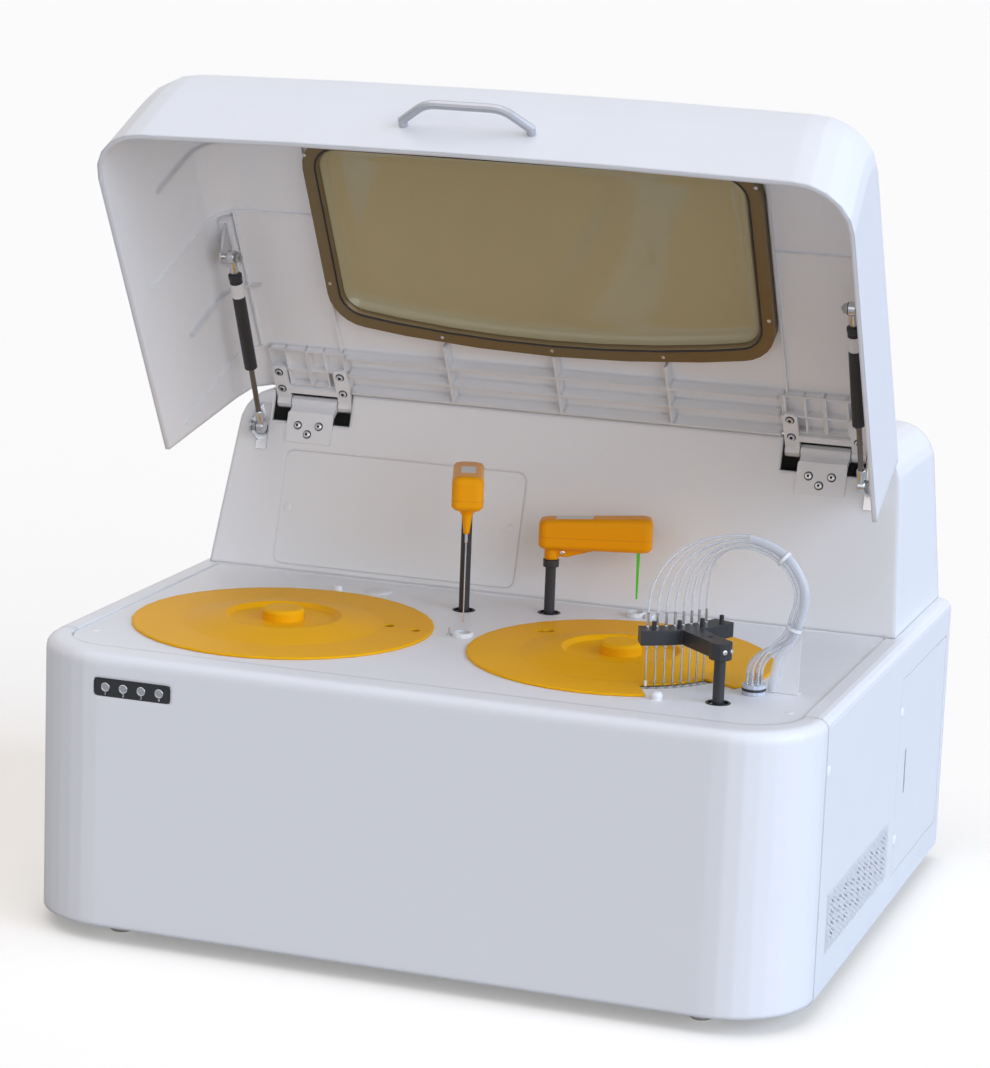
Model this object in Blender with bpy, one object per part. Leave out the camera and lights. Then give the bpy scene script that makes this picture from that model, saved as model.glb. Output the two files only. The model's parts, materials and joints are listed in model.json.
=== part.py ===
"""Benchtop chemistry analyzer with a lifting hood, as separate pieces.

x runs to the right, y to the back and z up. Heights are measured from the case's
bottom edge while the pieces are made, and at the end all of it stands on its feet.
"""
import math

import bmesh
import bpy
from mathutils import Matrix, Vector

# Case
CASE_WIDTH = 0.860
CASE_DEPTH = 0.700
CASE_HEIGHT = 0.298
CASE_CORNER_RADIUS = 0.095
CASE_EDGE_RADIUS = 0.012
CASE_WALL = 0.004
SEAM_SETBACK = 0.095
FRONT_RAIL = 0.037
SIDE_RAIL = 0.026
RAIL_THICKNESS = 0.004
RAIL_LIP = 0.003
LEDGE_REACH = 0.006
LEDGE_THICKNESS = 0.003
TRAY_THICKNESS = 0.003
TRAY_RIM = 0.030
FOOT_HEIGHT = 0.018
FOOT_RADIUS = 0.017
FOOT_INSET_X = 0.105
FOOT_INSET_Y = 0.050

# Gaps between pieces
GAP = 0.0003
SEAM_GAP = 0.0008
TURN_GAP = 0.0010
OVERRUN = 0.004

# Deck
DECK_DROP = 0.002
DECK_THICKNESS = 0.0043
DECK_GAP = 0.0015
COLUMN_RADIUS = 0.006
COLUMN_HOLE_RADIUS = 0.0125
COLUMN_TAIL = 0.071

# Hood outline, shared by the rear housing and the lid
HOOD_RISE = 0.205
HOOD_FOOT_HALF = 0.414
HOOD_SHOULDER_HALF = 0.399
HOOD_EDGE_RADIUS = 0.046
HOUSING_FOOT_Y = 0.116
HOUSING_TOP_Y = 0.1744
HOUSING_WALL = 0.004

# Lid
LID_WALL = 0.005
LID_FOOT_GAP = 0.002
LID_REAR_GAP = 0.0037
LID_FRONT_Y = -0.325
LID_FRONT_BOW = 0.007
LID_BROW_RADIUS = 0.119
LID_CORNER_RADIUS = 0.060
LID_EDGE_BEVEL = 0.0045
RIB_THICKNESS = 0.003
RIB_DEPTH = 0.016
SIDE_RIB_DEPTH = 0.005
RIB_PITCH = 0.132
HINGE_Y = 0.1815
HINGE_HEIGHT = 0.1890
OPEN_ANGLE = math.radians(60.4)

# Window
WINDOW_FRONT_Y = -0.205
WINDOW_SIDE_Y = 0.050
WINDOW_REAR_Y = 0.074
WINDOW_HALF = 0.264
WINDOW_CORNER = 0.045
BORDER = 0.015
PANE_THICKNESS = 0.003
BORDER_FACE_HEIGHT = 0.1840
PANE_SETBACK = 0.0006

# Handle on the lid's front
HANDLE_HALF = 0.070
HANDLE_BAR_HALF = 0.042
HANDLE_RISE = 0.028
HANDLE_RADIUS = 0.0048
HANDLE_HEIGHT = 0.0460
HANDLE_BEND = 0.012

# Lid hinges
HINGE_X = 0.3095
ARM_SPACING = 0.077
ARM_WIDTH = 0.017
ARM_THICKNESS = 0.0045
ARM_FACE_HEIGHT = 0.1860
ARM_FRONT_Y = 0.128
EYE_RADIUS = 0.0075
PIN_RADIUS = 0.003
BRIDGE_WIDTH = 0.008
BRIDGE_BACK = 0.0155
PLATE_WIDTH = 0.057
PLATE_THICKNESS = 0.0025
PLATE_LOW_HEIGHT = 0.1450
PLATE_HIGH_HEIGHT = 0.1800
KNUCKLE_RADIUS = 0.008
WEB_LOW_HEIGHT = 0.1705
NOTCH_LOW_HEIGHT = 0.1680
NOTCH_DEPTH = 0.011
GRID_FRONT_Y = 0.106
GRID_REAR_Y = 0.1565

# Access panel on the housing's face
PANEL_LEFT = 0.334
PANEL_RIGHT = 0.036
PANEL_LOW_HEIGHT = 0.0080
PANEL_HIGH_HEIGHT = 0.1360
PANEL_CORNER = 0.010
PANEL_THICKNESS = 0.0017
PANEL_REBATE = 0.002
PANEL_LAND = 0.008

# Gas struts
STRUT_X = 0.3615
STRUT_TOP_Y = -0.0485
STRUT_TOP_HEIGHT = 0.1590
STRUT_FOOT_Y = 0.1385
STRUT_FOOT_HEIGHT = 0.1639
STRUT_EYE_WIDTH = 0.008
STRUT_EYE_RADIUS = 0.007
STRUT_EYE_GAP = 0.0004
STRUT_STUD_RADIUS = 0.003
STRUT_NECK_RADIUS = 0.0036
STRUT_NECK = 0.0233
STRUT_BODY = 0.1258
STRUT_BODY_RADIUS = 0.0075
STRUT_ROD_RADIUS = 0.0032
STRUT_BORE_DEPTH = 0.085
STRUT_ROD_TAIL = 0.020
STRUT_ROD_SOCKET = 0.0173
BRACKET_SHEET = 0.0025
BRACKET_GAP = 0.010
FOOT_BRACKET_LOW_HEIGHT = 0.1340
FOOT_BRACKET_HIGH_HEIGHT = 0.1870
FOOT_BRACKET_WIDTH = 0.0130
BRACKET_CORNER = 0.009
TOP_BRACKET_FRONT = 0.030
TOP_BRACKET_PAD = 0.0105
TOP_PAD_HEIGHT = 0.1795

# Discs: reagent on the left, reaction on the right
REAGENT_X = -0.2184
REAGENT_Y = -0.1247
REACTION_X = 0.1621
REACTION_Y = -0.0997
COVER_RADIUS = 0.166
COVER_RIM = 0.0016
COVER_THICKNESS = 0.0026
COVER_FLAT_RADIUS = 0.110
COVER_RIDGE_RADIUS = 0.064
COVER_RIDGE_RISE = 0.0105
COVER_RECESS_RADIUS = 0.0585
COVER_RECESS_RISE = 0.0055
KNOB_RADIUS = 0.023
KNOB_HEIGHT = 0.0126
KNOB_EDGE = 0.003
COVER_HOLE_RADIUS = 0.0058
REAGENT_HOLE_RADIUS = 0.158
REACTION_HOLE_RADIUS = 0.134
NOTCH_INNER_RADIUS = 0.1225
NOTCH_START_ANGLE = math.radians(-64)
NOTCH_END_ANGLE = math.radians(-27)
REAGENT_OUTER_RADIUS = 0.147
REAGENT_INNER_RADIUS = 0.1163
POCKET_LENGTH = 0.021
POCKET_DEPTH = 0.060
POCKET_MARGIN = 0.008
POCKET_WALL = 0.0025
OUTER_POCKETS = 20
INNER_POCKETS = 15
CUVETTE_RING_RADIUS = 0.126
CUVETTE_COUNT = 80
CUVETTE_WIDTH = 0.0066
CUVETTE_DEPTH = 0.030
CUVETTE_RING_HALF = 0.0062
CAROUSEL_TOP_GAP = 0.0010
CAROUSEL_WEB = 0.004
REAGENT_DISC_HEIGHT = 0.070
REACTION_DISC_HEIGHT = 0.034
SHAFT_RADIUS = 0.007
SHAFT_TAIL = 0.020
BOWL_WALL = 0.003
BOWL_FLANGE = 0.012
BOWL_CLEARANCE = 0.0025
BOWL_FLOOR = 0.003

# Plate that carries the mechanisms under the deck
MECHANISM_DROP = 0.1180
MECHANISM_THICKNESS = 0.006
MECHANISM_INSET = 0.030
POST_RADIUS = 0.008
POST_INSET = 0.045
BUSH_RADIUS = 0.014
BUSH_HEIGHT = 0.024

# Sample arm
SAMPLE_X = -0.063
SAMPLE_Y = 0.030
SAMPLE_ARM_LENGTH = 0.128
SAMPLE_ANGLE = math.radians(-70.8)
ARM_BODY_WIDTH = 0.0345
ARM_BODY_END = 0.015
SAMPLE_ARM_HEIGHT = 0.1400
SAMPLE_ARM_ROOT = 0.0265
SAMPLE_ARM_TIP = 0.038
ARM_SOCKET = 0.014
NOSE_TOP_RADIUS = 0.013
NOSE_SHOULDER = 0.006
NOSE_RADIUS = 0.006
NOSE_LENGTH = 0.021
NOSE_TIP_RADIUS = 0.00325
PROBE_GRIP = 0.010
PROBE_NOZZLE_RADIUS = 0.0016
PROBE_NOZZLE = 0.0095
NEEDLE_RADIUS = 0.00075
NEEDLE_TIP_HEIGHT = 0.0140

# Mixer arm
MIXER_X = 0.027
MIXER_Y = 0.064
MIXING_CUVETTE = 46
MIXER_ANGLE = math.radians(17)
MIXER_ARM_HEIGHT = 0.0740
MIXER_ARM_ROOT = 0.033
MIXER_ARM_TIP = 0.039
MIXER_HUB = 0.0135
MIXER_HUB_RADIUS = 0.008
MIXER_COLLAR = 0.009
MIXER_COLLAR_RADIUS = 0.009
MIXER_PIVOT_RADIUS = 0.0045
MIXER_PIVOT = 0.024
PADDLE_TIP_HEIGHT = 0.0180
PADDLE_WIDTH = 0.004
PADDLE_TIP_WIDTH = 0.002
PADDLE_THICKNESS = 0.0012
PADDLE_GRIP = 0.008
PADDLE_SHANK_RADIUS = 0.0014

# Wash station
WASH_X = 0.3085
WASH_Y = -0.2365
WASH_TOP_HEIGHT = 0.0620
WASH_THICKNESS = 0.0155
WASH_CLAMP = 0.0175
WASH_CLAMP_RADIUS = 0.012
WASH_ARM_HALF = 0.011
WASH_INNER_RADIUS = 0.1195
WASH_OUTER_RADIUS = 0.143
WASH_START_ANGLE = math.radians(-65.3)
WASH_END_ANGLE = math.radians(-19)
WASH_SOCKET = 0.011
PROBE_COUNT = 8
PROBE_FIRST_ANGLE = math.radians(-61.2)
FERRULE_RADIUS = 0.0019
FERRULE_LENGTH = 0.006
WASH_NEEDLE_RADIUS = 0.0010
WASH_NOZZLE_RADIUS = 0.0013
WASH_NOZZLE = 0.015
WASH_TIP_DROP = 0.0008
PEG_RADIUS = 0.0025
PEG_HEIGHT = 0.009
PEG_RING_RADIUS = 0.1375
MANIFOLD_X = 0.332
MANIFOLD_Y = -0.184
MANIFOLD_RADIUS = 0.0125
MANIFOLD_HEIGHT = 0.0107
MANIFOLD_GROOVE = 0.0012
MANIFOLD_RING_RADIUS = 0.0078
NIPPLE_RADIUS = 0.0012
NIPPLE_HEIGHT = 0.011
TUBE_RADIUS = 0.0019
BUNDLE_RADIUS = 0.0062
TIE_RADIUS = 0.0088
TIE_WIDTH = 0.004
BRACKET_REACH = 0.015
BRACKET_BACK = 0.016
BRACKET_LENGTH = 0.029
BRACKET_HEIGHT = 0.0605
BRACKET_FOOT = 0.012

# Rinse cups
CUP_RIM_RADIUS = 0.01125
CUP_RIM_HEIGHT = 0.0055
CUP_RADIUS = 0.0099
CUP_WALL = 0.0015
CUP_DEPTH = 0.048

# Front buttons
STRIP_X = -0.294
STRIP_DROP = 0.0350
STRIP_WIDTH = 0.086
STRIP_HEIGHT = 0.018
BUTTON_RADIUS = 0.0050
BUTTON_PITCH = 0.0205
BUTTON_LENGTH = 0.010
BUTTON_FLANGE = 0.0014
BUTTON_COUNT = 4

# Side service door and side vent
DOOR_FRONT_Y = 0.097
DOOR_REAR_INSET = 0.017
DOOR_LOW_Z = 0.033
DOOR_HIGH_DROP = 0.0410
DOOR_PIN_RADIUS = 0.0011
DOOR_PIN_LENGTH = 0.006
DOOR_SLOT_Y = 0.1365
DOOR_SLOT_WIDTH = 0.007
DOOR_SLOT_LOW_Z = 0.118
DOOR_SLOT_HIGH_Z = 0.169
VENT_FRONT_Y = -0.205
VENT_REAR_Y = 0.058
VENT_LOW_Z = 0.048
VENT_HIGH_Z = 0.094
VENT_COLUMNS = 9
VENT_ROWS = 4
VENT_WEB = 0.0034

# Mains inlet, supply and inner units
INLET_X = -0.330
INLET_Z = 0.070
INLET_WIDTH = 0.030
INLET_HEIGHT = 0.060
INLET_DEPTH = 0.030
INLET_FLANGE = 0.004
SOCKET_WIDTH = 0.022
SOCKET_HEIGHT = 0.016
SOCKET_DEPTH = 0.018
ROCKER_WIDTH = 0.013
ROCKER_HEIGHT = 0.020
ROCKER_RISE = 0.0025
ROCKER_DEPTH = 0.006
ROCKER_ANGLE = math.radians(9)
REAR_SLOT_COUNT = 8
REAR_SLOT_WIDTH = 0.006
REAR_SLOT_HEIGHT = 0.070
REAR_SLOT_PITCH = 0.014
REAR_SLOT_X = 0.060
REAR_SLOT_Z = 0.130
SUPPLY_WIDTH = 0.160
SUPPLY_DEPTH = 0.110
SUPPLY_HEIGHT = 0.075
SUPPLY_X = -0.130
SUPPLY_INSET = 0.100
PUMP_WIDTH = 0.050
PUMP_DEPTH = 0.130
PUMP_CLEARANCE = 0.0157
PUMP_BLOCK_SHARE = 0.71
PUMP_INSET_X = 0.038
PUMP_INSET_Y = 0.135
SYRINGE_RADIUS = 0.008
PHOTOMETER_WIDTH = 0.060
PHOTOMETER_DEPTH = 0.040
PHOTOMETER_HEIGHT = 0.085

# Counts of sides on round pieces
ROUND = 36
FINE = 28
MEDIUM = 14
SMALL = 10
TINY = 6

# Levels worked out from the sizes above
DECK_Z = CASE_HEIGHT - DECK_DROP
DECK_LOW_Z = DECK_Z - DECK_THICKNESS
SEAM_Y = SEAM_SETBACK - CASE_DEPTH / 2
HOOD_TOP_Z = CASE_HEIGHT + HOOD_RISE
HALF_WIDTH = CASE_WIDTH / 2
HALF_DEPTH = CASE_DEPTH / 2
INNER_HALF = HALF_WIDTH - SIDE_RAIL
BOWL_TOP_Z = DECK_LOW_Z - GAP
CAROUSEL_TOP_Z = DECK_Z - CAROUSEL_TOP_GAP
HINGE_Z = CASE_HEIGHT + HINGE_HEIGHT
BORDER_FACE_Z = CASE_HEIGHT + BORDER_FACE_HEIGHT
HANDLE_Z = CASE_HEIGHT + HANDLE_HEIGHT
ARM_FACE_Z = CASE_HEIGHT + ARM_FACE_HEIGHT
PLATE_LOW_Z = CASE_HEIGHT + PLATE_LOW_HEIGHT
PLATE_HIGH_Z = CASE_HEIGHT + PLATE_HIGH_HEIGHT
WEB_LOW_Z = CASE_HEIGHT + WEB_LOW_HEIGHT
NOTCH_LOW_Z = CASE_HEIGHT + NOTCH_LOW_HEIGHT
PANEL_LOW_Z = CASE_HEIGHT + PANEL_LOW_HEIGHT
PANEL_HIGH_Z = CASE_HEIGHT + PANEL_HIGH_HEIGHT
STRUT_TOP_Z = CASE_HEIGHT + STRUT_TOP_HEIGHT
STRUT_FOOT_Z = CASE_HEIGHT + STRUT_FOOT_HEIGHT
FOOT_BRACKET_LOW_Z = CASE_HEIGHT + FOOT_BRACKET_LOW_HEIGHT
FOOT_BRACKET_HIGH_Z = CASE_HEIGHT + FOOT_BRACKET_HIGH_HEIGHT
TOP_PAD_Z = CASE_HEIGHT + TOP_PAD_HEIGHT
SAMPLE_ARM_Z = CASE_HEIGHT + SAMPLE_ARM_HEIGHT
NEEDLE_TIP_Z = CASE_HEIGHT + NEEDLE_TIP_HEIGHT
MIXER_ARM_Z = CASE_HEIGHT + MIXER_ARM_HEIGHT
PADDLE_TIP_Z = CASE_HEIGHT + PADDLE_TIP_HEIGHT
WASH_TOP_Z = CASE_HEIGHT + WASH_TOP_HEIGHT
WASH_TIP_Z = CASE_HEIGHT - WASH_TIP_DROP
MECHANISM_TOP_Z = CASE_HEIGHT - MECHANISM_DROP
STRIP_Z = CASE_HEIGHT - STRIP_DROP
DOOR_HIGH_Z = CASE_HEIGHT - DOOR_HIGH_DROP
COLUMN_LOW_Z = MECHANISM_TOP_Z - COLUMN_TAIL
DOOR_REAR_Y = HALF_DEPTH - DOOR_REAR_INSET
SUPPLY_Y = HALF_DEPTH - SUPPLY_INSET
PUMP_X = HALF_WIDTH - PUMP_INSET_X
PUMP_Y = HALF_DEPTH - PUMP_INSET_Y
PUMP_ROOM = MECHANISM_TOP_Z - MECHANISM_THICKNESS - TRAY_THICKNESS - GAP - PUMP_CLEARANCE
PUMP_HEIGHT = PUMP_ROOM * PUMP_BLOCK_SHARE
SYRINGE_HEIGHT = PUMP_ROOM - PUMP_HEIGHT


def polar(centre_x, centre_y, radius, angle):
    """A point at an angle round a centre, in plan."""
    return (centre_x + radius * math.cos(angle), centre_y + radius * math.sin(angle))


def cuvette_place(index):
    """A cuvette's place on its ring, counted from the first wash probe's."""
    angle = PROBE_FIRST_ANGLE + math.tau * index / CUVETTE_COUNT
    return polar(REACTION_X, REACTION_Y, CUVETTE_RING_RADIUS, angle)


def mixer_reach():
    """The paddle's distance from its column: out to the cuvette that it stirs."""
    return math.dist((MIXER_X, MIXER_Y), cuvette_place(MIXING_CUVETTE))


def mixed(low, high, share):
    return low + (high - low) * share


def arc(centre, radius, start, end, steps):
    """Points of an arc, both ends included."""
    return [
        polar(centre[0], centre[1], radius, mixed(start, end, step / steps))
        for step in range(steps + 1)
    ]


def rounded(corners, steps=6):
    """A closed outline whose corners (x, y, radius) are turned as arcs."""
    outline = []
    count = len(corners)
    for index, (x, y, radius) in enumerate(corners):
        here = Vector((x, y))
        if radius <= 0:
            outline.append((x, y))
            continue
        before = (Vector(corners[index - 1][:2]) - here).normalized()
        after = (Vector(corners[(index + 1) % count][:2]) - here).normalized()
        half = before.angle(after) / 2
        centre = here + (before + after).normalized() * (radius / math.sin(half))
        first = here + before * (radius / math.tan(half)) - centre
        last = here + after * (radius / math.tan(half)) - centre
        start = math.atan2(first.y, first.x)
        sweep = (math.atan2(last.y, last.x) - start + math.pi) % math.tau - math.pi
        outline += arc(centre, radius, start, start + sweep, steps)
    return outline


def new_piece(name, mesh_builder):
    """Make an object from a filled bmesh, with its faces turned outwards."""
    bmesh.ops.recalc_face_normals(mesh_builder, faces=mesh_builder.faces)
    if mesh_builder.calc_volume(signed=True) < 0:
        bmesh.ops.reverse_faces(mesh_builder, faces=mesh_builder.faces)
    mesh = bpy.data.meshes.new(name)
    mesh_builder.to_mesh(mesh)
    mesh_builder.free()
    piece = bpy.data.objects.new(name, mesh)
    bpy.context.collection.objects.link(piece)
    return piece


def loft(name, rings, closed=False):
    """Join rings of equally many points; the ends are capped unless the loft closes."""
    shape = bmesh.new()
    rows = [[shape.verts.new(point) for point in ring] for ring in rings]
    size = len(rings[0])
    pairs = list(zip(rows, rows[1:]))
    if closed:
        pairs.append((rows[-1], rows[0]))
    for low, high in pairs:
        for index in range(size):
            other = (index + 1) % size
            shape.faces.new((low[index], low[other], high[other], high[index]))
    if not closed:
        shape.faces.new(list(reversed(rows[0])))
        shape.faces.new(rows[-1])
    return new_piece(name, shape)


def prism(name, outline, low, high):
    """A plan outline raised from one height to another."""
    return loft(name, [[(x, y, z) for x, y in outline] for z in (low, high)])


def side_prism(name, outline, low_x, high_x):
    """An outline of (y, z) points carried along x."""
    return loft(name, [[(x, y, z) for y, z in outline] for x in (low_x, high_x)])


def block(name, low, high):
    """A box between two corners."""
    outline = [(low[0], low[1]), (high[0], low[1]), (high[0], high[1]), (low[0], high[1])]
    return prism(name, outline, low[2], high[2])


def turned(name, profile, centre, sides, hollow=False):
    """Turn (radius, height) points round a vertical axis through centre (x, y)."""
    shape = bmesh.new()
    rows = []
    for radius, height in profile:
        if radius <= 0:
            rows.append([shape.verts.new((centre[0], centre[1], height))])
            continue
        row = []
        for step in range(sides):
            x, y = polar(centre[0], centre[1], radius, math.tau * step / sides)
            row.append(shape.verts.new((x, y, height)))
        rows.append(row)
    pairs = list(zip(rows, rows[1:]))
    if hollow:
        pairs.append((rows[-1], rows[0]))
    for low, high in pairs:
        for step in range(sides):
            other = (step + 1) % sides
            if len(low) == 1 and len(high) == 1:
                continue
            if len(low) == 1:
                shape.faces.new((low[0], high[other], high[step]))
            elif len(high) == 1:
                shape.faces.new((low[step], low[other], high[0]))
            else:
                shape.faces.new((low[step], low[other], high[other], high[step]))
    if not hollow:
        for row in (rows[0], rows[-1]):
            if len(row) > 1:
                shape.faces.new(row)
    return new_piece(name, shape)


def rod(name, start, end, radius, sides, end_radius=None):
    """A round bar, or a cone, between two points."""
    start = Vector(start)
    end = Vector(end)
    frame = (end - start).to_track_quat("Z", "Y").to_matrix()
    rings = []
    for point, size in ((start, radius), (end, radius if end_radius is None else end_radius)):
        ring = []
        for step in range(sides):
            turn = math.tau * step / sides
            ring.append(point + frame @ Vector((size * math.cos(turn), size * math.sin(turn), 0)))
        rings.append(ring)
    return loft(name, rings)


def combine(piece, tool, operation):
    """Cut a tool from a piece, or join it to the piece, and drop the tool."""
    modifier = piece.modifiers.new(operation.title(), "BOOLEAN")
    modifier.object = tool
    modifier.operation = operation
    modifier.solver = "EXACT"
    bpy.context.view_layer.update()
    depsgraph = bpy.context.evaluated_depsgraph_get()
    mesh = bpy.data.meshes.new_from_object(piece.evaluated_get(depsgraph))
    piece.modifiers.clear()
    old_mesh = piece.data
    piece.data = mesh
    bpy.data.meshes.remove(old_mesh)
    tool_mesh = tool.data
    bpy.data.objects.remove(tool)
    bpy.data.meshes.remove(tool_mesh)
    return piece


def cut(piece, *tools):
    for tool in tools:
        combine(piece, tool, "DIFFERENCE")
    return piece


def join(piece, *tools):
    for tool in tools:
        combine(piece, tool, "UNION")
    return piece


def mirrored_x(points, side):
    """Points of a right-hand piece, moved to the given side (+1 right, -1 left)."""
    return [(x * side, *rest) for x, *rest in points]


def material(name, colour, roughness, metallic=0.0, alpha=1.0):
    made = bpy.data.materials.new(name)
    made.use_nodes = True
    shader = made.node_tree.nodes["Principled BSDF"]
    shader.inputs["Base Color"].default_value = (*colour, 1.0)
    shader.inputs["Roughness"].default_value = roughness
    shader.inputs["Metallic"].default_value = metallic
    shader.inputs["Alpha"].default_value = alpha
    return made


FINISHES = {
    "shell": ((0.80, 0.81, 0.84), 0.35, 0.0, 1.0),
    "deck": ((0.78, 0.79, 0.83), 0.40, 0.0, 1.0),
    "yellow": ((0.78, 0.42, 0.02), 0.45, 0.0, 1.0),
    "orange": ((0.85, 0.36, 0.01), 0.35, 0.0, 1.0),
    "black": ((0.02, 0.02, 0.025), 0.40, 0.0, 1.0),
    "steel": ((0.60, 0.61, 0.63), 0.25, 1.0, 1.0),
    "zinc": ((0.50, 0.51, 0.52), 0.40, 1.0, 1.0),
    "border": ((0.20, 0.11, 0.05), 0.45, 0.0, 1.0),
    "pane": ((0.30, 0.26, 0.13), 0.10, 0.0, 0.6),
    "green": ((0.10, 0.60, 0.15), 0.40, 0.0, 1.0),
    "cuvette": ((0.75, 0.78, 0.80), 0.20, 0.0, 1.0),
    "tube": ((0.80, 0.84, 0.90), 0.20, 0.0, 0.5),
    "rubber": ((0.03, 0.03, 0.03), 0.80, 0.0, 1.0),
    "handle": ((0.45, 0.46, 0.48), 0.35, 0.6, 1.0),
    "cup": ((0.76, 0.78, 0.82), 0.35, 0.0, 1.0),
}


def finish(piece, look, sharp_degrees=35):
    """Give a piece its own material and smooth round faces."""
    piece.data.materials.clear()
    piece.data.materials.append(material(piece.name, *FINISHES[look]))
    for polygon in piece.data.polygons:
        polygon.material_index = 0
    piece.data.shade_smooth()
    piece.data.set_sharp_from_angle(angle=math.radians(sharp_degrees))
    return piece


def set_origin(piece, point):
    """Move a piece's origin to a point without moving the piece."""
    point = Vector(point)
    piece.data.transform(Matrix.Translation(-point))
    piece.location = point
    return piece


def hang(piece, empty):
    """Put a piece made in the closed hood's place under the hood's hinge."""
    piece.data.transform(Matrix.Translation(-empty.location))
    piece.parent = empty
    return piece


def opened(y, z):
    """Where a point of the closed hood lies when the hood is open."""
    across = y - HINGE_Y
    up = z - HINGE_Z
    return (
        HINGE_Y + across * math.cos(OPEN_ANGLE) + up * math.sin(OPEN_ANGLE),
        HINGE_Z - across * math.sin(OPEN_ANGLE) + up * math.cos(OPEN_ANGLE),
    )


def hood_half(z, inset=0.0):
    """Half the hood's width at a height; inset gives the inner face of a wall."""
    arc_z = HOOD_TOP_Z - HOOD_EDGE_RADIUS
    if z <= arc_z:
        share = (z - CASE_HEIGHT) / (arc_z - CASE_HEIGHT)
        return mixed(HOOD_FOOT_HALF, HOOD_SHOULDER_HALF, share) - inset
    radius = HOOD_EDGE_RADIUS - inset
    rise = min(z - arc_z, radius)
    return HOOD_SHOULDER_HALF - HOOD_EDGE_RADIUS + math.sqrt(max(radius**2 - rise**2, 0.0))


def face_y(z):
    """The leaning front face of the rear housing."""
    return mixed(HOUSING_FOOT_Y, HOUSING_TOP_Y, (z - CASE_HEIGHT) / HOOD_RISE)


LEAN = math.atan2(HOUSING_TOP_Y - HOUSING_FOOT_Y, HOOD_RISE)


def on_face(x, z, depth):
    """A point of the leaning face at a height, sunk to a depth square to it."""
    return (x, face_y(z) + depth * math.cos(LEAN), z - depth * math.sin(LEAN))


def face_prism(name, outline, front, back):
    """An outline of (x, z) points on the leaning face, between two depths."""
    return loft(name, [[on_face(x, z, depth) for x, z in outline] for depth in (front, back)])


def case_outline(inset, rear_y):
    """The case seen from above, drawn in by a distance, with a square rear end."""
    half = HALF_WIDTH - inset
    front = inset - HALF_DEPTH
    radius = CASE_CORNER_RADIUS - inset
    corners = [(-half, front, radius), (half, front, radius), (half, rear_y, 0), (-half, rear_y, 0)]
    return rounded(corners, 9)


def rail_profile(width):
    """(inward, height) points of the case wall, its turned rail and the deck's ledge."""
    top = CASE_HEIGHT
    edge = CASE_EDGE_RADIUS
    under = top - RAIL_THICKNESS
    ledge = DECK_LOW_Z - GAP
    points = [(0.0, 0.0), (0.0, top - edge)]
    for step in range(1, 4):
        turn = math.pi / 2 * step / 4
        points.append((edge * (1 - math.cos(turn)), top - edge * (1 - math.sin(turn))))
    points += [
        (edge, top),
        (width, top),
        (width, ledge),
        (width + LEDGE_REACH, ledge),
        (width + LEDGE_REACH, ledge - LEDGE_THICKNESS),
        (width - RAIL_LIP, ledge - LEDGE_THICKNESS),
        (width - RAIL_LIP, under),
        (edge, under),
        (CASE_WALL, top - edge),
        (CASE_WALL, 0.0),
    ]
    return points


def front_cover():
    """One moulding that wraps both front corners; its rail widens along the front."""
    inner_radius = CASE_CORNER_RADIUS - FRONT_RAIL
    outer_x = HALF_WIDTH - CASE_CORNER_RADIUS
    inner_x = INNER_HALF - inner_radius
    inner_y = FRONT_RAIL - HALF_DEPTH + inner_radius
    steps = 9
    stations = []
    for side in (-1, 1):
        for step in range(steps + 1):
            turn = math.pi / 2 * step / steps
            angle = -math.pi + turn if side < 0 else -math.pi / 2 + turn
            outer = polar(side * outer_x, SEAM_Y, CASE_CORNER_RADIUS, angle)
            inner = polar(side * inner_x, inner_y, inner_radius, angle)
            stations.append((Vector(outer), Vector(inner)))
    rings = []
    for outer, inner in stations:
        width = (inner - outer).length
        inward = (inner - outer).normalized()
        ring = []
        for reach, height in rail_profile(width):
            point = outer + inward * reach
            ring.append((point.x, point.y, height))
        rings.append(ring)
    cover = loft("front_cover", rings)
    half_width = STRIP_WIDTH / 2 + GAP
    half_height = STRIP_HEIGHT / 2 + GAP
    front = -HALF_DEPTH
    cut(
        cover,
        block(
            "strip_window",
            (STRIP_X - half_width, front - OVERRUN, STRIP_Z - half_height),
            (STRIP_X + half_width, front + CASE_WALL + OVERRUN, STRIP_Z + half_height),
        ),
    )
    return finish(cover, "shell")


def vent_holes(x_low, x_high):
    """Staggered diamond holes through a side wall."""
    pitch_y = (VENT_REAR_Y - VENT_FRONT_Y) / VENT_COLUMNS
    pitch_z = (VENT_HIGH_Z - VENT_LOW_Z) / VENT_ROWS
    half_y = (pitch_y * 2 - VENT_WEB * 2) / 2 / 2
    half_z = (pitch_z - VENT_WEB / 2) / 2
    holes = bmesh.new()
    for column in range(VENT_COLUMNS):
        rows = VENT_ROWS if column % 2 == 0 else VENT_ROWS - 1
        for row in range(rows):
            y = VENT_FRONT_Y + pitch_y * (column + 1 / 2)
            z = VENT_LOW_Z + pitch_z * (row + (1 / 2 if column % 2 == 0 else 1))
            corners = [(y - half_y, z), (y, z - half_z), (y + half_y, z), (y, z + half_z)]
            rings = [[holes.verts.new((x, a, b)) for a, b in corners] for x in (x_low, x_high)]
            for index in range(4):
                other = (index + 1) % 4
                quad = (rings[0][index], rings[0][other], rings[1][other], rings[1][index])
                holes.faces.new(quad)
            holes.faces.new(rings[0][::-1])
            holes.faces.new(rings[1])
    return new_piece("vent_holes", holes)


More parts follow.
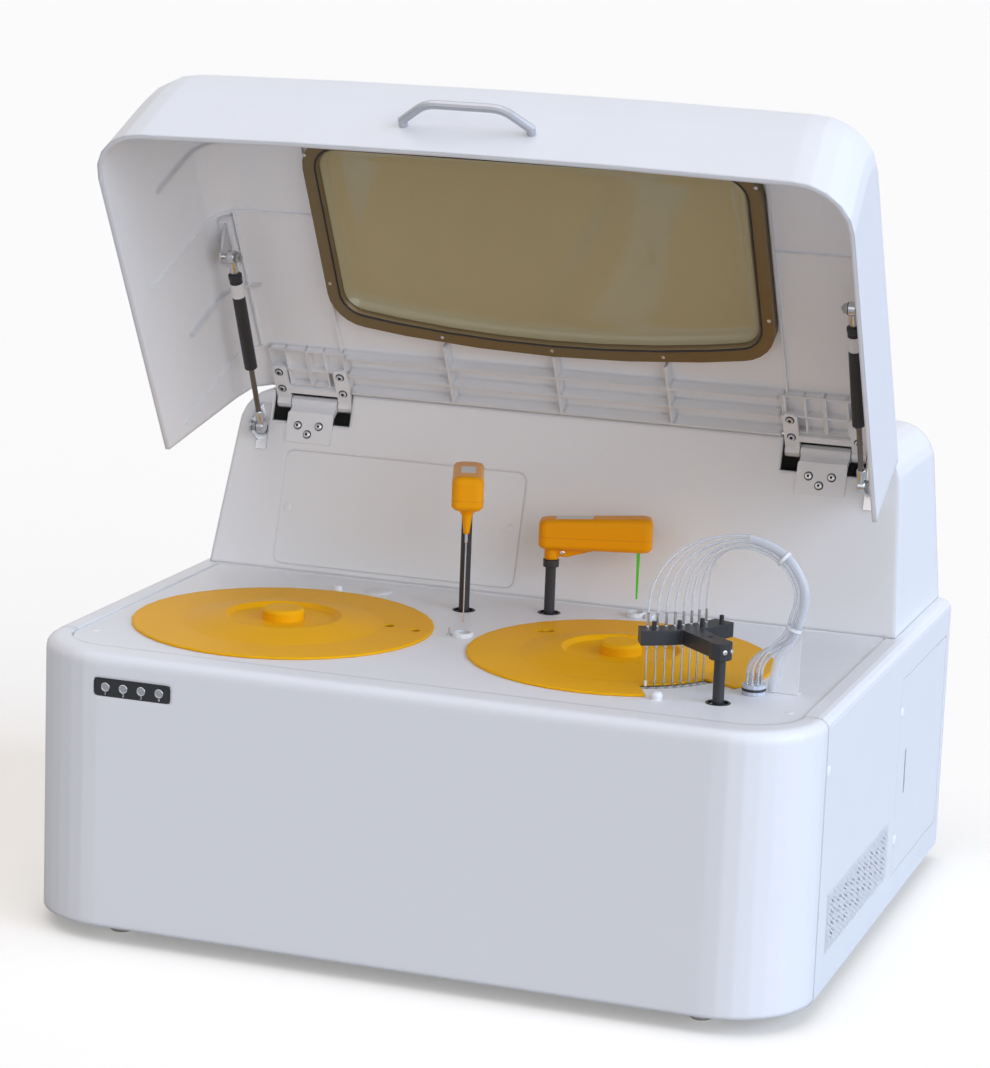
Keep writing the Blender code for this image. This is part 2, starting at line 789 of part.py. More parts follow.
def side_panel(name, side):
    """A side wall with its rail; the right one has the service door's opening and a vent."""
    profile = rail_profile(SIDE_RAIL)
    rings = []
    for y in (SEAM_Y + SEAM_GAP, HALF_DEPTH):
        rings.append([(side * (HALF_WIDTH - reach), y, height) for reach, height in profile])
    panel = loft(name, rings)
    if side > 0:
        outer = HALF_WIDTH + OVERRUN
        inner = HALF_WIDTH - CASE_WALL - OVERRUN
        opening = block(
            "door_opening",
            (inner, DOOR_FRONT_Y - SEAM_GAP, DOOR_LOW_Z - SEAM_GAP),
            (outer, DOOR_REAR_Y + SEAM_GAP, DOOR_HIGH_Z + SEAM_GAP),
        )
        axis = door_axis()
        low = DOOR_LOW_Z - DOOR_PIN_LENGTH - TURN_GAP
        high = DOOR_HIGH_Z + DOOR_PIN_LENGTH + TURN_GAP
        bore = rod("pin_bore", (*axis, low), (*axis, high), DOOR_PIN_RADIUS + GAP, TINY)
        cut(panel, opening, bore, vent_holes(inner, outer))
    return finish(panel, "shell")


def door_axis():
    """The door turns inside its own thickness, near its rear edge."""
    return (HALF_WIDTH - CASE_WALL / 2, DOOR_REAR_Y - CASE_WALL / 2)


def side_door():
    axis_x, axis_y = door_axis()
    half = CASE_WALL / 2
    outline = [(axis_x - half, DOOR_FRONT_Y), (axis_x + half, DOOR_FRONT_Y)]
    outline += arc((axis_x, axis_y), half, 0.0, math.pi, 8)
    door = prism("side_door", outline, DOOR_LOW_Z, DOOR_HIGH_Z)
    low = DOOR_LOW_Z - DOOR_PIN_LENGTH
    high = DOOR_HIGH_Z + DOOR_PIN_LENGTH
    for start, end in ((low, DOOR_LOW_Z + half), (DOOR_HIGH_Z - half, high)):
        pin = rod("pin", (axis_x, axis_y, start), (axis_x, axis_y, end), DOOR_PIN_RADIUS, TINY)
        join(door, pin)
    slot_half = DOOR_SLOT_WIDTH / 2
    slot = block(
        "finger_slot",
        (axis_x - half - OVERRUN, DOOR_SLOT_Y - slot_half, DOOR_SLOT_LOW_Z),
        (axis_x + half + OVERRUN, DOOR_SLOT_Y + slot_half, DOOR_SLOT_HIGH_Z),
    )
    cut(door, slot)
    return set_origin(finish(door, "shell"), (axis_x, axis_y, mixed(DOOR_LOW_Z, DOOR_HIGH_Z, 1 / 2)))


def rear_panel():
    """The back wall closes the case between the side panels, up to the housing."""
    half = HALF_WIDTH - CASE_WALL - GAP
    neck = INNER_HALF - LEDGE_REACH - GAP
    shoulder = DECK_LOW_Z - GAP - LEDGE_THICKNESS - GAP
    bend = CASE_HEIGHT - CASE_EDGE_RADIUS - GAP
    slant = half - (shoulder - bend)
    outline = [(-half, 0.0), (half, 0.0), (half, bend), (slant, shoulder), (neck, shoulder)]
    outline += [(neck, CASE_HEIGHT), (-neck, CASE_HEIGHT), (-neck, shoulder)]
    outline += [(-slant, shoulder), (-half, bend)]
    rings = []
    for y in (HALF_DEPTH - CASE_WALL, HALF_DEPTH):
        rings.append([(x, y, z) for x, z in outline])
    panel = loft("rear_panel", rings)
    front = HALF_DEPTH - CASE_WALL - OVERRUN
    back = HALF_DEPTH + OVERRUN
    half_width = INLET_WIDTH / 2 + GAP
    half_height = INLET_HEIGHT / 2 + GAP
    low = (INLET_X - half_width, front, INLET_Z - half_height)
    high = (INLET_X + half_width, back, INLET_Z + half_height)
    cut(panel, block("inlet_window", low, high))
    for index in range(REAR_SLOT_COUNT):
        x = REAR_SLOT_X + REAR_SLOT_PITCH * index
        slot = block(
            "slot",
            (x - REAR_SLOT_WIDTH / 2, front, REAR_SLOT_Z),
            (x + REAR_SLOT_WIDTH / 2, back, REAR_SLOT_Z + REAR_SLOT_HEIGHT),
        )
        cut(panel, slot)
    return finish(panel, "shell")


def base_tray():
    """A folded pan inside the case walls."""
    outer_inset = CASE_WALL + GAP
    inner_inset = outer_inset + TRAY_THICKNESS
    rear_y = HALF_DEPTH - outer_inset
    tray = prism("base_tray", case_outline(outer_inset, rear_y), 0.0, TRAY_RIM)
    inner = case_outline(inner_inset, rear_y - TRAY_THICKNESS)
    cut(tray, prism("hollow", inner, TRAY_THICKNESS, TRAY_RIM + OVERRUN))
    return finish(tray, "zinc")


def foot(name, side_x, side_y):
    x = side_x * (HALF_WIDTH - FOOT_INSET_X)
    y = side_y * (HALF_DEPTH - FOOT_INSET_Y)
    low = -FOOT_HEIGHT
    chamfer = FOOT_HEIGHT / 6
    profile = [
        (FOOT_RADIUS - chamfer * 2, low),
        (FOOT_RADIUS - chamfer, low + chamfer),
        (FOOT_RADIUS, -GAP),
    ]
    return finish(turned(name, profile, (x, y), MEDIUM), "rubber")


def column_places():
    """Axes of the three columns that rise through the deck."""
    return [(SAMPLE_X, SAMPLE_Y), (MIXER_X, MIXER_Y), (WASH_X, WASH_Y)]


def sample_cup_place():
    return polar(SAMPLE_X, SAMPLE_Y, SAMPLE_ARM_LENGTH, SAMPLE_ANGLE)


def mixer_cup_place():
    return polar(MIXER_X, MIXER_Y, mixer_reach(), MIXER_ANGLE)


def through(name, place, radius, sides, low, high):
    """A round cutter along z."""
    return rod(name, (*place, low - OVERRUN), (*place, high + OVERRUN), radius, sides)


def deck_plate():
    """The flat work top, with a hole for each disc, column and cup."""
    inset = SIDE_RAIL + DECK_GAP
    half = HALF_WIDTH - inset
    front = FRONT_RAIL + DECK_GAP - HALF_DEPTH
    rear = HALF_DEPTH - CASE_WALL - GAP
    radius = CASE_CORNER_RADIUS - FRONT_RAIL - DECK_GAP
    corners = [(-half, front, radius), (half, front, radius), (half, rear, 0), (-half, rear, 0)]
    deck = prism("deck_plate", rounded(corners, 9), DECK_LOW_Z, DECK_Z)
    ends = (DECK_LOW_Z, DECK_Z)
    cut(
        deck,
        through("hole", (REAGENT_X, REAGENT_Y), REAGENT_HOLE_RADIUS, ROUND, *ends),
        through("hole", (REACTION_X, REACTION_Y), REACTION_HOLE_RADIUS, ROUND, *ends),
    )
    for place in column_places():
        cut(deck, through("hole", place, COLUMN_HOLE_RADIUS, MEDIUM, *ends))
    for place in (sample_cup_place(), mixer_cup_place()):
        cut(deck, through("hole", place, CUP_RADIUS + GAP, MEDIUM, *ends))
    return finish(deck, "deck")


def rinse_cup(name, place):
    """A flanged cup that drops through the deck."""
    low = DECK_Z - CUP_DEPTH
    seat = DECK_Z + GAP
    top = DECK_Z + CUP_RIM_HEIGHT
    inner = CUP_RADIUS - CUP_WALL
    profile = [
        (0.0, low),
        (CUP_RADIUS, low),
        (CUP_RADIUS, seat),
        (CUP_RIM_RADIUS, seat),
        (CUP_RIM_RADIUS, top - CUP_WALL / 2),
        (CUP_RIM_RADIUS - CUP_WALL / 2, top),
        (inner, top),
        (inner, low + CUP_WALL),
        (0.0, low + CUP_WALL),
    ]
    return finish(turned(name, profile, place, MEDIUM), "cup")


def button_place(index):
    return STRIP_X + BUTTON_PITCH * (index - (BUTTON_COUNT - 1) / 2)


def button_strip():
    half_width = STRIP_WIDTH / 2
    half_height = STRIP_HEIGHT / 2
    corners = []
    for x, z in ((-1, -1), (1, -1), (1, 1), (-1, 1)):
        corners.append((STRIP_X + x * half_width, STRIP_Z + z * half_height, 0))
    outline = rounded(corners)
    face = GAP - HALF_DEPTH
    strip = loft("button_strip", [[(x, y, z) for x, z in outline] for y in (face, face + CASE_WALL)])
    for index in range(BUTTON_COUNT):
        start = (button_place(index), face - OVERRUN, STRIP_Z)
        end = (button_place(index), face + CASE_WALL + OVERRUN, STRIP_Z)
        cut(strip, rod("hole", start, end, BUTTON_RADIUS + GAP, SMALL))
    return finish(strip, "black")


def button(name, index):
    """A push button held behind the strip by its flange."""
    x = button_place(index)
    face = -HALF_DEPTH
    flange = face + GAP + CASE_WALL + GAP
    start = (x, face, STRIP_Z)
    cap = rod(name, start, (x, face + BUTTON_LENGTH, STRIP_Z), BUTTON_RADIUS, SMALL)
    collar_radius = BUTTON_RADIUS + BUTTON_FLANGE
    collar_end = (x, flange + BUTTON_FLANGE, STRIP_Z)
    join(cap, rod("collar", (x, flange, STRIP_Z), collar_end, collar_radius, SMALL))
    return set_origin(finish(cap, "steel"), start)


def hood_outline(inset, low_z):
    """(x, z) points of the hood's section, from the left foot over to the right foot."""
    arc_z = HOOD_TOP_Z - HOOD_EDGE_RADIUS
    centre_x = HOOD_SHOULDER_HALF - HOOD_EDGE_RADIUS
    radius = HOOD_EDGE_RADIUS - inset
    points = [(-hood_half(low_z, inset), low_z)]
    points += arc((-centre_x, arc_z), radius, math.pi, math.pi / 2, 6)
    points += arc((centre_x, arc_z), radius, math.pi / 2, 0.0, 6)
    points.append((hood_half(low_z, inset), low_z))
    return points


def panel_outline(grow):
    """The access panel's outline on the leaning face."""
    corners = [
        (-PANEL_LEFT - grow, PANEL_LOW_Z - grow, PANEL_CORNER + grow),
        (-PANEL_RIGHT + grow, PANEL_LOW_Z - grow, PANEL_CORNER + grow),
        (-PANEL_RIGHT + grow, PANEL_HIGH_Z + grow, PANEL_CORNER + grow),
        (-PANEL_LEFT - grow, PANEL_HIGH_Z + grow, PANEL_CORNER + grow),
    ]
    return rounded(corners, 4)


def hinge_span():
    """Half the width of a hinge across both of its arms."""
    return ARM_SPACING / 2 + ARM_WIDTH / 2


def rear_housing():
    """The tower: one thin moulding, open below, with a leaning face."""
    low_z = CASE_HEIGHT + GAP
    outline = hood_outline(0.0, low_z)
    rings = [[(x, face_y(z), z) for x, z in outline], [(x, HALF_DEPTH, z) for x, z in outline]]
    housing = loft("rear_housing", rings)
    inner = hood_outline(HOUSING_WALL, low_z)
    inner[0] = (inner[0][0], low_z - OVERRUN)
    inner[-1] = (inner[-1][0], low_z - OVERRUN)
    sunk = HOUSING_WALL / math.cos(LEAN)
    rings = [
        [(x, face_y(z) + sunk, z) for x, z in inner],
        [(x, HALF_DEPTH - HOUSING_WALL, z) for x, z in inner],
    ]
    cut(housing, loft("hollow", rings))
    for side in (-1, 1):
        centre = side * HINGE_X
        half = hinge_span() + TURN_GAP * 2
        low = (centre - half, HOUSING_FOOT_Y, NOTCH_LOW_Z)
        high = (centre + half, HINGE_Y + NOTCH_DEPTH, HOOD_TOP_Z + OVERRUN)
        cut(housing, block("notch", low, high))
    rebate = face_prism("rebate", panel_outline(GAP), -OVERRUN, PANEL_REBATE)
    opening = face_prism("opening", panel_outline(-PANEL_LAND), -OVERRUN, HOUSING_WALL + OVERRUN)
    cut(housing, rebate, opening)
    return finish(housing, "shell")


def access_panel():
    depth = PANEL_REBATE - PANEL_THICKNESS
    panel = face_prism("access_panel", panel_outline(0.0), depth - GAP, PANEL_REBATE - GAP)
    return finish(panel, "shell")


def hinge_plate(name, side):
    """The fixed leaf: a screwed plate, its web through the notch, and the pin."""
    centre = side * HINGE_X
    half = PLATE_WIDTH / 2
    corners = []
    for x, z in ((-1, PLATE_LOW_Z), (1, PLATE_LOW_Z), (1, PLATE_HIGH_Z), (-1, PLATE_HIGH_Z)):
        corners.append((centre + x * half, z, PLATE_THICKNESS))
    plate = face_prism(name, rounded(corners, 3), -GAP - PLATE_THICKNESS, -GAP)
    middle = -GAP - PLATE_THICKNESS / 2
    low = on_face(centre, WEB_LOW_Z, middle)
    high = on_face(centre, PLATE_HIGH_Z - PLATE_THICKNESS, middle)
    reach = KNUCKLE_RADIUS / 2
    web_outline = [
        (low[1], low[2]),
        (HINGE_Y, HINGE_Z - reach * 3 / 2),
        (HINGE_Y, HINGE_Z + reach / 2),
        (HINGE_Y - reach, HINGE_Z),
        (high[1], high[2]),
    ]
    inner = half - TURN_GAP
    join(plate, side_prism("web", web_outline, centre - inner, centre + inner))
    knuckle = rod(
        "knuckle",
        (centre - half, HINGE_Y, HINGE_Z),
        (centre + half, HINGE_Y, HINGE_Z),
        KNUCKLE_RADIUS,
        SMALL,
    )
    join(plate, knuckle)
    pin_half = hinge_span() + TURN_GAP
    pin = rod(
        "pin",
        (centre - pin_half, HINGE_Y, HINGE_Z),
        (centre + pin_half, HINGE_Y, HINGE_Z),
        PIN_RADIUS,
        SMALL,
    )
    join(plate, pin)
    return finish(plate, "shell")


def strut_flange_x():
    """Inner face of the bracket sheets beside a strut's eye."""
    return STRUT_X + BRACKET_GAP


def lower_bracket(name, side):
    """A sheet bracket on the housing's face; its boss faces the strut's lower eye."""
    inner = strut_flange_x()
    outer = inner + BRACKET_SHEET
    left = outer - FOOT_BRACKET_WIDTH
    corners = [
        (side * left, FOOT_BRACKET_LOW_Z, 0),
        (side * outer, FOOT_BRACKET_LOW_Z, 0),
        (side * outer, FOOT_BRACKET_HIGH_Z, 0),
        (side * left, FOOT_BRACKET_HIGH_Z, 0),
    ]
    plate = face_prism(name, rounded(corners), -GAP - BRACKET_SHEET, -GAP)
    low = on_face(0.0, FOOT_BRACKET_LOW_Z + BRACKET_CORNER, -GAP - BRACKET_SHEET / 2)
    high = on_face(0.0, FOOT_BRACKET_HIGH_Z, -GAP - BRACKET_SHEET / 2)
    nose = arc((STRUT_FOOT_Y, STRUT_FOOT_Z), BRACKET_CORNER, math.pi * 3 / 2, math.pi / 2, 6)
    outline = [(low[1], low[2]), *nose, (high[1], high[2])]
    join(plate, side_prism("flange", outline, side * inner, side * outer))
    boss_end = STRUT_X + STRUT_EYE_WIDTH / 2 + STRUT_EYE_GAP
    start = (side * boss_end, STRUT_FOOT_Y, STRUT_FOOT_Z)
    end = (side * (inner + BRACKET_SHEET / 2), STRUT_FOOT_Y, STRUT_FOOT_Z)
    join(plate, rod("boss", start, end, STRUT_EYE_RADIUS * 3 / 4, SMALL))
    return finish(plate, "steel")


def upper_bracket(name, side, lid_hinge):
    """A three-screw bracket under the lid, with the stud of the strut's upper eye."""
    inner = strut_flange_x()
    outer = inner + BRACKET_SHEET
    pad_x = outer + TOP_BRACKET_PAD
    front = STRUT_TOP_Y - TOP_BRACKET_FRONT
    back = STRUT_TOP_Y + TOP_BRACKET_FRONT
    radius = BRACKET_CORNER / 2
    corners = [
        (side * inner, front, 0),
        (side * outer, front, 0),
        (side * pad_x, STRUT_TOP_Y - TOP_BRACKET_PAD / 2, radius),
        (side * pad_x, STRUT_TOP_Y + TOP_BRACKET_PAD / 2, radius),
        (side * outer, back, 0),
        (side * inner, back, 0),
    ]
    pad = prism(name, rounded(corners, 3), TOP_PAD_Z, TOP_PAD_Z + BRACKET_SHEET)
    nose = arc((STRUT_TOP_Y, STRUT_TOP_Z), BRACKET_CORNER, math.pi, math.tau, 6)
    outline = [(front, TOP_PAD_Z + BRACKET_SHEET / 2), *nose]
    outline.append((back, TOP_PAD_Z + BRACKET_SHEET / 2))
    join(pad, side_prism("flange", outline, side * inner, side * outer))
    stud_end = STRUT_X - STRUT_EYE_WIDTH / 2 - TURN_GAP
    start = (side * stud_end, STRUT_TOP_Y, STRUT_TOP_Z)
    end = (side * (inner + BRACKET_SHEET / 2), STRUT_TOP_Y, STRUT_TOP_Z)
    join(pad, rod("stud", start, end, STRUT_STUD_RADIUS, SMALL))
    return hang(finish(pad, "steel"), lid_hinge)


def strut_line(side):
    """The open strut's two ball centres and the direction from the top one down."""
    top = Vector((side * STRUT_X, *opened(STRUT_TOP_Y, STRUT_TOP_Z)))
    low = Vector((side * STRUT_X, STRUT_FOOT_Y, STRUT_FOOT_Z))
    return top, low, (low - top).normalized()


def eye(name, centre):
    """A flat round eye whose hole lies along x."""
    half = Vector((STRUT_EYE_WIDTH / 2, 0.0, 0.0))
    return rod(name, centre - half, centre + half, STRUT_EYE_RADIUS, SMALL)


def strut_cylinder(name, side):
    top, _, down = strut_line(side)
    shoulder = top + down * STRUT_NECK
    end = shoulder + down * STRUT_BODY
    body = rod(name, shoulder, end, STRUT_BODY_RADIUS, MEDIUM)
    neck = rod("neck", top, shoulder + down * STRUT_NECK_RADIUS, STRUT_NECK_RADIUS, SMALL)
    join(body, neck, eye("eye", top))
    stud_half = Vector((STRUT_EYE_WIDTH, 0.0, 0.0))
    stud_hole = rod("hole", top - stud_half, top + stud_half, STRUT_STUD_RADIUS + GAP, SMALL)
    mouth = end - down * STRUT_BORE_DEPTH
    bore = rod("bore", mouth, end + down * OVERRUN, STRUT_ROD_RADIUS + GAP, SMALL)
    cut(body, stud_hole, bore)
    return set_origin(finish(body, "black"), top)


def strut_rod(name, side):
    top, low, down = strut_line(side)
    mouth = top + down * (STRUT_NECK + STRUT_BODY)
    inside = mouth - down * STRUT_ROD_TAIL
    socket = low - down * STRUT_ROD_SOCKET
    bar = rod(name, inside, low - down * STRUT_NECK_RADIUS, STRUT_ROD_RADIUS, SMALL)
    join(bar, rod("socket", socket, low, STRUT_NECK_RADIUS, SMALL), eye("eye", low))
    return set_origin(finish(bar, "steel"), mouth)


def lid_front_y(x, z, inset):
    """The lid's front: upright below, then turned over into the flat top."""
    centre_y = LID_FRONT_Y + LID_BROW_RADIUS
    centre_z = HOOD_TOP_Z - LID_BROW_RADIUS
    radius = LID_BROW_RADIUS - inset
    rise = min(max(z - centre_z, 0.0), radius)
    bow = LID_FRONT_BOW * (x / HOOD_SHOULDER_HALF) ** 2
    return centre_y - math.sqrt(radius**2 - rise**2) + bow


def lid_ring(z, inset, bevel):
    """A U-shaped level of the lid, from its left rear end round to its right one."""
    half = hood_half(z, inset)
    radius = LID_CORNER_RADIUS - inset
    straight = half - radius
    rear = face_y(z) - LID_REAR_GAP - bevel
    corner_y = lid_front_y(straight, z, inset) + radius
    points = [(-half, rear), (-half, mixed(corner_y, rear, 1 / 2))]
    points += arc((-straight, corner_y), radius, math.pi, math.pi * 3 / 2, 5)
    for step in range(1, 4):
        x = mixed(-straight, straight, step / 4)
        points.append((x, lid_front_y(x, z, inset)))
    points += arc((straight, corner_y), radius, -math.pi / 2, 0.0, 5)
    points += [(half, mixed(corner_y, rear, 1 / 2)), (half, rear)]
    return [(x, y, z) for x, y in points]


def lid_levels(inset):
    """Heights of the lid's rings, closer together where the edges turn over."""
    top = HOOD_TOP_Z - inset
    low = CASE_HEIGHT + LID_FOOT_GAP
    brow = HOOD_TOP_Z - LID_BROW_RADIUS
    levels = [low, brow]
    count = 7
    for step in range(1, count + 1):
        levels.append(brow + (top - brow) * math.sin(math.pi / 2 * step / count))
    return levels


def lid_shell_walls():
    """The bare hood: outer and inner skins joined at the foot and at the rear edge."""
    shape = bmesh.new()
    skins = []
    for inset in (0.0, LID_WALL):
        skin = []
        for level, z in enumerate(lid_levels(inset)):
            bevel = LID_EDGE_BEVEL if inset and level > 5 else 0.0
            skin.append([shape.verts.new(point) for point in lid_ring(z, inset, bevel)])
        skins.append(skin)
    outer, inner = skins
    for skin in skins:
        for low, high in zip(skin, skin[1:]):
            for index in range(len(low) - 1):
                quad = (low[index], low[index + 1], high[index + 1], high[index])
                shape.faces.new(quad)
        shape.faces.new(skin[-1])
    for index in range(len(outer[0]) - 1):
        quad = (outer[0][index], outer[0][index + 1], inner[0][index + 1], inner[0][index])
        shape.faces.new(quad)
    for level in range(len(outer) - 1):
        for end in (0, -1):
            quad = (outer[level][end], outer[level + 1][end])
            quad += (inner[level + 1][end], inner[level][end])
            shape.faces.new(quad)
    shape.faces.new((outer[-1][0], outer[-1][-1], inner[-1][-1], inner[-1][0]))
    return new_piece("lid_shell", shape)


def window_outline(inset):
    """The window seen from above: straight in front and an arched rear edge."""
    half = WINDOW_HALF - inset
    radius = WINDOW_CORNER - inset
    front = WINDOW_FRONT_Y + inset
    corners = [(-half, front, radius), (half, front, radius)]
    side_y = WINDOW_SIDE_Y - inset
    rise = WINDOW_REAR_Y - WINDOW_SIDE_Y
    corners.append((half, side_y, radius))
    for step in range(1, 6):
        share = 1 - step / 3
        corners.append((half * share, side_y + rise * (1 - share**2), 0))
    corners.append((-half, side_y, radius))
    return rounded(corners, 6)


def skin_z(x):
    """The middle of the lid's wall over a place on its rounded shoulder."""
    radius = HOOD_EDGE_RADIUS - LID_WALL / 2
    out = abs(x) - (HOOD_SHOULDER_HALF - HOOD_EDGE_RADIUS)
    return HOOD_TOP_Z - HOOD_EDGE_RADIUS + math.sqrt(radius**2 - max(out, 0.0) ** 2)


def side_rib(side, y):
    """A shallow rib that follows the inside of a side wall up into the top."""
    arc_z = HOOD_TOP_Z - HOOD_EDGE_RADIUS
    low_z = CASE_HEIGHT + HOOD_EDGE_RADIUS * 2
    centre = (HOOD_SHOULDER_HALF - HOOD_EDGE_RADIUS, arc_z)
    outer = LID_WALL / 2
    inner = LID_WALL + SIDE_RIB_DEPTH
    outline = [(hood_half(low_z, outer), low_z)]
    outline += arc(centre, HOOD_EDGE_RADIUS - outer, 0.0, math.pi / 2, 4)
    outline += arc(centre, HOOD_EDGE_RADIUS - inner, math.pi / 2, 0.0, 4)
    outline.append((hood_half(low_z, inner), low_z))
    half = RIB_THICKNESS / 2
    rings = [[(side * x, station, z) for x, z in outline] for station in (y - half, y + half)]
    return loft("side_rib", rings)


def lid_shell(lid_hinge):
    """The lid's moulding with its window, ribs, hinge grids and strut bosses."""
    shell = lid_shell_walls()
    root = HOOD_TOP_Z - LID_WALL / 2
    rib_z = HOOD_TOP_Z - LID_WALL - RIB_DEPTH
    half = RIB_THICKNESS / 2
    rear = GRID_REAR_Y
    side_half = HOOD_SHOULDER_HALF - HOOD_EDGE_RADIUS
    arm_top = ARM_FACE_Z + ARM_THICKNESS + GAP
    deep_half = HINGE_X - hinge_span() - RIB_THICKNESS
    for y in (GRID_FRONT_Y, mixed(GRID_FRONT_Y, GRID_REAR_Y, 1 / 2), GRID_REAR_Y):
        low = (-deep_half, y - half, rib_z)
        join(shell, block("deep_rib", low, (deep_half, y + half, root)))
    for x in (-RIB_PITCH, 0.0, RIB_PITCH):
        low = (x - half, WINDOW_REAR_Y + TURN_GAP, rib_z)
        join(shell, block("rib", low, (x + half, rear, root)))
    for side in (-1, 1):
        for step in range(3):
            x = side * HINGE_X + hinge_span() * (step - 1)
            low = (x - half, GRID_FRONT_Y, arm_top)
            join(shell, block("grid_rib", low, (x + half, GRID_REAR_Y, root)))
        for y in (GRID_FRONT_Y, GRID_REAR_Y):
            reach = hinge_span() + RIB_THICKNESS
            low = (side * HINGE_X - reach, y - half, arm_top)
            join(shell, block("grid_end", low, (side * HINGE_X + reach, y + half, root)))
        inner = side * (strut_flange_x() - BRACKET_SHEET)
        outer = side * (strut_flange_x() + BRACKET_SHEET + TOP_BRACKET_PAD - RIB_THICKNESS)
        reach = TOP_BRACKET_FRONT + RIB_THICKNESS
        low = TOP_PAD_Z + BRACKET_SHEET + GAP
        outline = [(inner, low), (outer, low), (outer, skin_z(outer)), (inner, skin_z(inner))]
        rings = []
        for y in (STRUT_TOP_Y - reach, STRUT_TOP_Y + reach):
            rings.append([(x, y, z) for x, z in outline])
        join(shell, loft("strut_boss", rings))
        for y in (STRUT_TOP_Y - RIB_PITCH, STRUT_TOP_Y + RIB_PITCH / 2):
            join(shell, side_rib(side, y))
    opening = prism(
        "window_opening",
        window_outline(BORDER - PANE_SETBACK),
        HOOD_TOP_Z - LID_WALL * 2,
        HOOD_TOP_Z + OVERRUN,
    )
    cut(shell, opening)
    return hang(finish(shell, "shell"), lid_hinge)


def window_frame(lid_hinge):
    """The border that holds the pane under the lid's top."""
    top = HOOD_TOP_Z - LID_WALL - GAP
    frame = prism("window_frame", window_outline(0.0), BORDER_FACE_Z, top)
    hole = prism("hole", window_outline(BORDER - PANE_SETBACK), BORDER_FACE_Z - OVERRUN, top + OVERRUN)
    cut(frame, hole)
    return hang(finish(frame, "border"), lid_hinge)


def window_pane(lid_hinge):
    """A shallow moulded tray that fills the opening, flush with the lid's top."""
    outer = window_outline(BORDER)
    inner = window_outline(BORDER + PANE_THICKNESS)
    pane = prism("window_pane", outer, BORDER_FACE_Z, HOOD_TOP_Z - GAP)
    low = BORDER_FACE_Z - OVERRUN
    cut(pane, prism("hollow", inner, low, HOOD_TOP_Z - GAP - PANE_THICKNESS))
    return hang(finish(pane, "pane"), lid_hinge)


def lid_handle(lid_hinge):
    """A bow handle: two slanting legs and a bar, bent from one round bar."""
    seat = lid_front_y(HANDLE_HALF, HANDLE_Z, 0.0) - GAP
    bar_y = LID_FRONT_Y - HANDLE_RISE
    path = []
    for side in (-1, 1):
        foot = Vector((side * HANDLE_HALF, seat, HANDLE_Z))
        knee = Vector((side * HANDLE_HALF, seat - HANDLE_BEND / 2, HANDLE_Z))
        bend = Vector((side * HANDLE_BAR_HALF, bar_y, HANDLE_Z))
        before = bend + (knee - bend).normalized() * HANDLE_BEND
        after = bend - Vector((side * HANDLE_BEND, 0.0, 0.0))
        leg = [foot, knee]
        for step in range(5):
            share = step / 4
            leg.append(before.lerp(bend, share).lerp(bend.lerp(after, share), share))
        path += leg if side < 0 else leg[::-1]
    rings = []
    for index, point in enumerate(path):
        ahead = path[min(index + 1, len(path) - 1)] - point
        behind = point - path[max(index - 1, 0)]
        if index in (0, len(path) - 1):
            heading = Vector((0.0, -1.0 if index == 0 else 1.0, 0.0))
        else:
            heading = (ahead.normalized() + behind.normalized()).normalized()
        across = heading.cross(Vector((0.0, 0.0, 1.0)))
        stretch = 1.0
        if 0 < index < len(path) - 1:
            stretch = 1 / math.cos(ahead.angle(behind) / 2)
        ring = []
        for step in range(10):
            turn = math.tau * step / 10
            offset = across * (HANDLE_RADIUS * stretch * math.cos(turn))
            ring.append(point + offset + Vector((0.0, 0.0, HANDLE_RADIUS * math.sin(turn))))
        rings.append(ring)
    return hang(finish(loft("lid_handle", rings), "handle"), lid_hinge)


def hinge_arm(name, side, lid_hinge):
    """The moving leaf: two arms with eyes on the pin, joined by a bridge."""
    centre = side * HINGE_X
    top_z = ARM_FACE_Z + ARM_THICKNESS
    span = hinge_span()
    bridge_back = HINGE_Y - BRIDGE_BACK
    leaf = block(
        name,
        (centre - span, bridge_back - BRIDGE_WIDTH, ARM_FACE_Z),
        (centre + span, bridge_back, top_z),
    )
    for offset in (-ARM_SPACING / 2, ARM_SPACING / 2):
        left = centre + offset - ARM_WIDTH / 2
        right = left + ARM_WIDTH
        nose = ARM_WIDTH / 3
        outline = rounded([(left, ARM_FRONT_Y, nose), (right, ARM_FRONT_Y, nose),
                           (right, HINGE_Y, 0), (left, HINGE_Y, 0)], 4)
        strip = prism("strip", outline, ARM_FACE_Z, top_z)
        ring = rod("ring", (left, HINGE_Y, HINGE_Z), (right, HINGE_Y, HINGE_Z), EYE_RADIUS, SMALL)
        join(strip, ring)
        start = (left - OVERRUN, HINGE_Y, HINGE_Z)
        end = (right + OVERRUN, HINGE_Y, HINGE_Z)
        join(leaf, cut(strip, rod("hole", start, end, PIN_RADIUS + GAP, SMALL)))
    return hang(finish(leaf, "shell"), lid_hinge)


